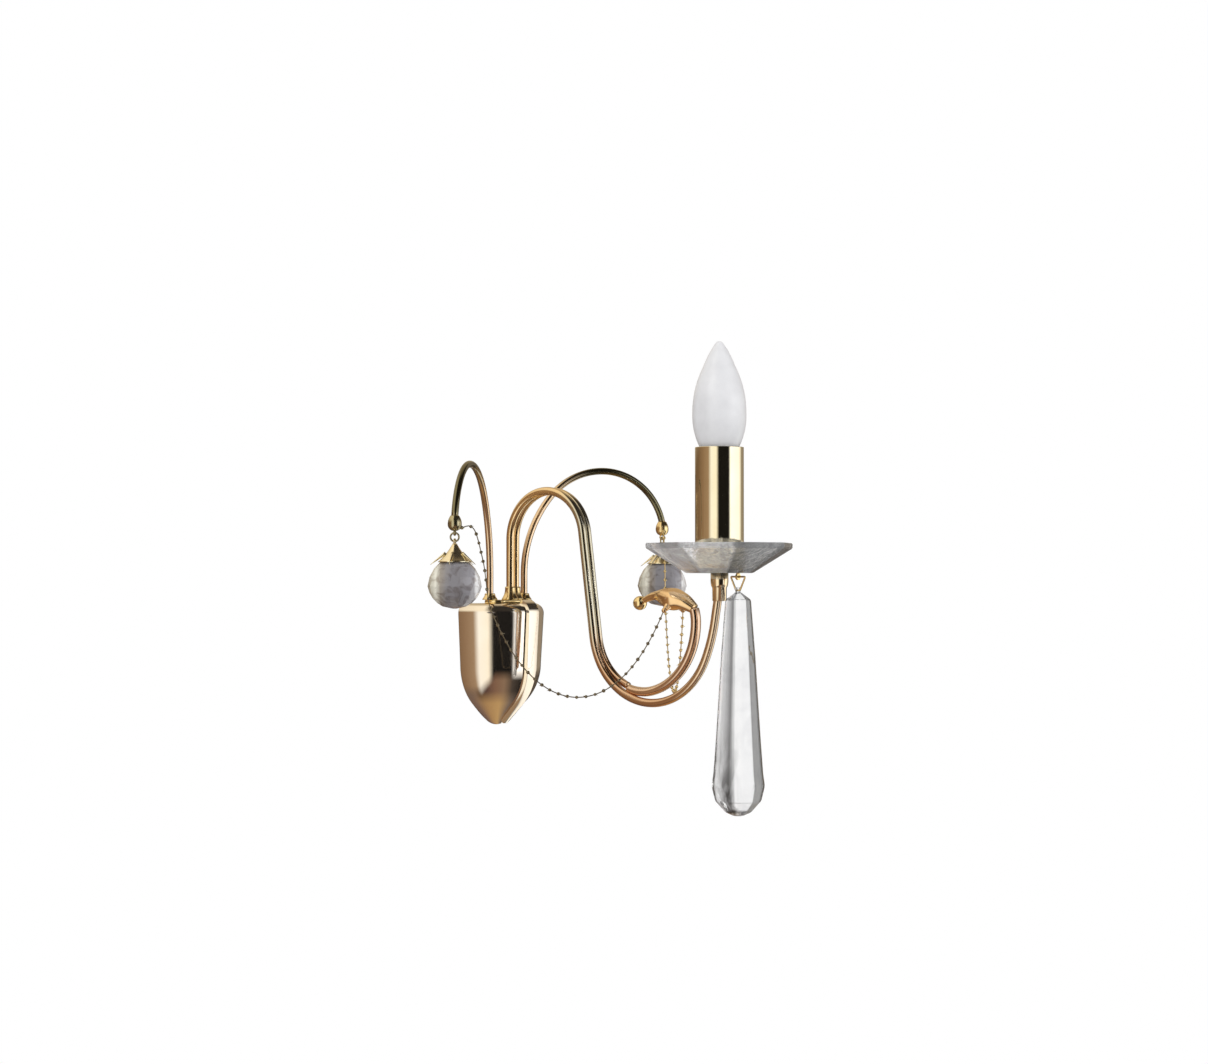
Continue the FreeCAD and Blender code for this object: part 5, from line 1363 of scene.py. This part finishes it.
def ramp(tree, factor, stops):
    """A colour ramp from (place, colour) stops."""
    made = add(tree, "ShaderNodeValToRGB", {0: factor})
    elements = made.color_ramp.elements
    while len(elements) < len(stops):
        elements.new(1.0)
    for element, (place, colour) in zip(elements, stops):
        element.position = place
        element.color = rgba(colour)
    return made.outputs[0]


# what polished metal mirrors, by the turn of its face from the camera, in degrees
WHITE = (1.5, 1.5, 1.5)
BLACK = (0.010, 0.009, 0.008)
ROOM = (
    (-90, (0.16, 0.10, 0.05)), (-62, (0.18, 0.11, 0.06)), (-42, (0.30, 0.19, 0.11)),
    (-28, (0.38, 0.26, 0.16)), (-21, (1.10, 1.08, 1.00)), (-9, (1.15, 1.08, 0.92)),
    (-3, BLACK), (21, BLACK), (26, WHITE), (50, (1.30, 1.28, 1.22)), (56, (1.0, 0.95, 0.85)),
    (62, (0.32, 0.27, 0.20)), (79, (0.30, 0.25, 0.19)), (85, (0.10, 0.08, 0.06)))
ABOVE = (
    (-90, (0.35, 0.27, 0.18)), (-45, (0.95, 0.85, 0.66)), (-14, (1.10, 1.00, 0.80)),
    (-6, (0.03, 0.025, 0.02)), (58, (0.04, 0.035, 0.03)), (64, (0.40, 0.34, 0.27)),
    (90, (0.18, 0.14, 0.10)))
BELOW = (
    (-90, (0.15, 0.10, 0.07)), (-45, (0.18, 0.13, 0.10)), (-35, (0.19, 0.13, 0.10)),
    (-27, (0.050, 0.025, 0.018)), (-15, (0.10, 0.055, 0.045)), (0, (0.23, 0.13, 0.085)),
    (12, (0.26, 0.17, 0.11)), (24, (0.07, 0.055, 0.045)), (38, (0.015, 0.012, 0.010)),
    (43, (1.2, 1.15, 1.05)), (57, (1.2, 1.15, 1.05)), (64, (0.10, 0.08, 0.06)))
FLOOR = (
    (-90, (0.12, 0.08, 0.06)), (-45, (0.20, 0.13, 0.10)), (-20, (0.42, 0.26, 0.12)),
    (5, (0.52, 0.34, 0.15)), (26, (0.20, 0.15, 0.12)), (40, (0.06, 0.05, 0.04)),
    (46, (1.1, 1.05, 0.95)), (58, (1.1, 1.05, 0.95)), (64, (0.10, 0.08, 0.06)))
CEILING = (0.55, 0.45, 0.30)
# what shows through the glass, by the turn from the camera
BEHIND = (
    (-180, (1.0, 1.0, 1.0)), (-166, (1.0, 1.0, 1.0)), (-158, (0.72, 0.72, 0.73)),
    (-150, (1.0, 1.0, 1.0)), (-132, (0.80, 0.80, 0.81)), (-118, (0.60, 0.60, 0.61)),
    (-100, (1.0, 1.0, 1.0)), (-60, (0.70, 0.70, 0.71)), (-20, (0.35, 0.35, 0.36)),
    (20, (0.60, 0.60, 0.61)), (60, (1.0, 1.0, 1.0)), (104, (1.0, 1.0, 1.0)),
    (118, (0.50, 0.50, 0.51)), (128, (1.0, 1.0, 1.0)), (146, (0.85, 0.85, 0.86)),
    (158, (0.68, 0.68, 0.69)), (167, (1.0, 1.0, 1.0)), (180, (1.0, 1.0, 1.0)))


def make_world():
    """White behind the object, and a banded room for polished metal and glass."""
    front = sizes("studio").azimuth
    world = bpy.data.worlds.new("Room")
    bpy.context.scene.world = world
    world.use_nodes = True
    tree = world.node_tree
    tree.nodes.clear()
    direction = add(tree, "ShaderNodeTexCoord").outputs["Generated"]

    # a face that mirrors this direction to the camera is turned halfway between the two
    half_way = vectored(tree, "ADD", direction, sides_of(front)[1])[0]
    facing = vectored(tree, "NORMALIZE", half_way)[0]
    upward = add(tree, "ShaderNodeSeparateXYZ", {0: facing}).outputs["Z"]
    turn = turn_of(tree, facing, front)

    def level(stops, limit=math.pi / 2, value=turn):
        """The stops, in degrees, as a ramp over a turn."""
        return banded(tree, value, [(math.radians(place), tone) for place, tone in stops], limit)

    # the floor shows sooner on the faces that are turned less to the left
    lower = worked(tree, "ADD", upward, spread(tree, turn, -0.4, 0.0, 0.28, 0.0))
    room = level(ROOM)
    for height, start, full, tone in (
            (upward, 0.14, 0.32, level(ABOVE)), (lower, -0.12, -0.30, level(BELOW)),
            (upward, -0.50, -0.72, level(FLOOR)), (upward, 0.70, 0.86, rgba(CEILING))):
        room = mixed(tree, spread(tree, height, start, full), room, tone)

    path = add(tree, "ShaderNodeLightPath").outputs
    seen = mixed(tree, path["Is Glossy Ray"], rgba((0.85, 0.85, 0.86)), room)
    seen = mixed(tree, path["Is Transmission Ray"], seen,
                 level(BEHIND, math.pi, turn_of(tree, direction, front)))
    seen = mixed(tree, path["Is Camera Ray"], seen, rgba((1.0, 1.0, 1.0)))
    background = add(tree, "ShaderNodeBackground", {"Color": seen})
    add(tree, "ShaderNodeOutputWorld", {0: background.outputs[0]})


BACKDROP_AWAY = 3.2     # from the camera


def make_backdrop(middle, right, upward):
    """White paper behind the object, which only the camera sees."""
    corners = [middle + right * (x * 1.4) + upward * (y * 1.3)
               for x, y in ((-1, -1), (1, -1), (1, 1), (-1, 1))]
    backdrop = mesh_object("Backdrop", corners, [(0, 1, 2, 3)], smooth=False)
    material = bpy.data.materials.new("Paper")
    material.use_nodes = True
    tree = material.node_tree
    tree.nodes.clear()
    paper = add(tree, "ShaderNodeEmission", {"Color": rgba((1.0, 1.0, 1.0)), "Strength": 1.0})
    add(tree, "ShaderNodeOutputMaterial", {0: paper.outputs[0]})
    backdrop.data.materials.append(material)
    backdrop.visible_glossy = False
    backdrop.visible_transmission = False
    backdrop.visible_diffuse = False
    backdrop.visible_shadow = False


def make_lights(right, upward, look):
    """Two soft lamps, which polished metal doesn't mirror."""
    for name, offset, size, power in (
            ("KeyLight", right * -0.7 + upward * 0.9 - look * 0.9, 0.6, 9.0),
            ("FillLight", right * 0.9 + upward * 0.3 - look * 0.6, 0.7, 5.0)):
        light = bpy.data.lights.new(name, "AREA")
        light.size = size
        light.energy = power
        lamp = linked(name, light)
        lamp.location = Vector(sizes("studio").aim) + offset
        lamp.rotation_mode = "QUATERNION"
        lamp.rotation_quaternion = (-offset).to_track_quat("-Z", "Y")
        lamp.visible_glossy = False


def make_camera(place, look):
    """The camera that takes the photograph's view."""
    data = bpy.data.cameras.new("Camera")
    data.lens = sizes("studio").lens
    data.sensor_fit = "HORIZONTAL"
    data.sensor_width = 36.0
    camera = linked("Camera", data)
    camera.location = place
    camera.rotation_mode = "QUATERNION"
    camera.rotation_quaternion = look.to_track_quat("-Z", "Y")
    bpy.context.scene.camera = camera


def camera_frame():
    """Where the camera is, and its rotation."""
    studio = sizes("studio")
    look = Vector((-math.sin(studio.azimuth) * math.cos(studio.tilt),
                   math.cos(studio.azimuth) * math.cos(studio.tilt), math.sin(studio.tilt)))
    return Vector(studio.aim) - look * studio.distance, look


def make_studio():
    """Backdrop, lights, world and camera."""
    place, look = camera_frame()
    right = look.cross(UP).normalized()
    upward = right.cross(look)
    make_backdrop(place + look * BACKDROP_AWAY, right, upward)
    make_lights(right, upward, look)
    make_world()
    make_camera(place, look)
    bpy.context.scene.view_settings.view_transform = "Standard"


# ---------------------------------------------------------------- operators and panel

class SCONCE_OT_body(bpy.types.Operator):
    """Adds the body, its band, the plate and the collars"""
    bl_idname = "sconce.body"
    bl_label = "Body"

    def execute(self, context):
        """Builds the pieces."""
        make_body()
        make_plate()
        make_collars()
        return {"FINISHED"}


class SCONCE_OT_arms(bpy.types.Operator):
    """Adds the candle arm, the scroll rod, the crystal arms and their knobs"""
    bl_idname = "sconce.arms"
    bl_label = "Arms"

    def execute(self, context):
        """Builds the pieces."""
        make_candle_arm()
        make_crystal_arms()
        return {"FINISHED"}


class SCONCE_OT_scroll(bpy.types.Operator):
    """Adds the scroll, its leaf and its ball"""
    bl_idname = "sconce.scroll"
    bl_label = "Scroll"

    def execute(self, context):
        """Builds the pieces."""
        make_scroll()
        make_leaf()
        make_ball()
        return {"FINISHED"}


class SCONCE_OT_candle(bpy.types.Operator):
    """Adds the ferrule, dish, sleeve and bulb"""
    bl_idname = "sconce.candle"
    bl_label = "Candle"

    def execute(self, context):
        """Builds the pieces."""
        make_candle()
        make_bulb()
        make_dish()
        return {"FINISHED"}


class SCONCE_OT_crystals(bpy.types.Operator):
    """Adds the side pendants and the long drop"""
    bl_idname = "sconce.crystals"
    bl_label = "Crystals"

    def execute(self, context):
        """Builds the pieces."""
        make_pendants()
        make_link()
        make_drop()
        return {"FINISHED"}


class SCONCE_OT_garlands(bpy.types.Operator):
    """Adds the bead garlands"""
    bl_idname = "sconce.garlands"
    bl_label = "Garlands"

    def execute(self, context):
        """Builds the pieces."""
        make_garlands()
        return {"FINISHED"}


class SCONCE_OT_fittings(bpy.types.Operator):
    """Gives the bracket, wiring and fixings their materials"""
    bl_idname = "sconce.fittings"
    bl_label = "Fittings"

    def execute(self, context):
        """Sets the materials."""
        dress_solids()
        return {"FINISHED"}


class SCONCE_OT_studio(bpy.types.Operator):
    """Adds the backdrop, the lights and the camera"""
    bl_idname = "sconce.studio"
    bl_label = "Studio"

    def execute(self, context):
        """Builds the stage."""
        make_studio()
        return {"FINISHED"}


STEPS = (SCONCE_OT_body, SCONCE_OT_arms, SCONCE_OT_scroll, SCONCE_OT_candle,
         SCONCE_OT_crystals, SCONCE_OT_garlands, SCONCE_OT_fittings, SCONCE_OT_studio)


class SCONCE_PT_panel(bpy.types.Panel):
    """Sizes and build steps of the sconce"""
    bl_idname = "SCONCE_PT_panel"
    bl_label = "Crystal Wall Sconce"
    bl_space_type = "VIEW_3D"
    bl_region_type = "UI"
    bl_category = "Sconce"

    def draw(self, context):
        """Shows the sizes by group, then the steps."""
        for name, kind in SIZES:
            box = self.layout.box()
            box.label(text=name.title())
            for item in kind.__annotations__:
                box.prop(getattr(context.scene.sconce, name), item)
        for step in STEPS:
            self.layout.operator(step.bl_idname)


CLASSES = tuple(kind for _, kind in SIZES) + (SconceSizes,) + STEPS + (SCONCE_PT_panel,)


def register():
    """Registers the classes and the scene's sizes."""
    for kind in CLASSES:
        bpy.utils.register_class(kind)
    bpy.types.Scene.sconce = bpy.props.PointerProperty(type=SconceSizes)


def unregister():
    """Takes the sizes and the classes away again."""
    del bpy.types.Scene.sconce
    for kind in reversed(CLASSES):
        bpy.utils.unregister_class(kind)


def main():
    """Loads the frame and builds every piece."""
    frame.update(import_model())
    register()
    for step in STEPS:
        group, name = step.bl_idname.split(".")
        getattr(getattr(bpy.ops, group), name)()


if __name__ == "__main__":
    main()
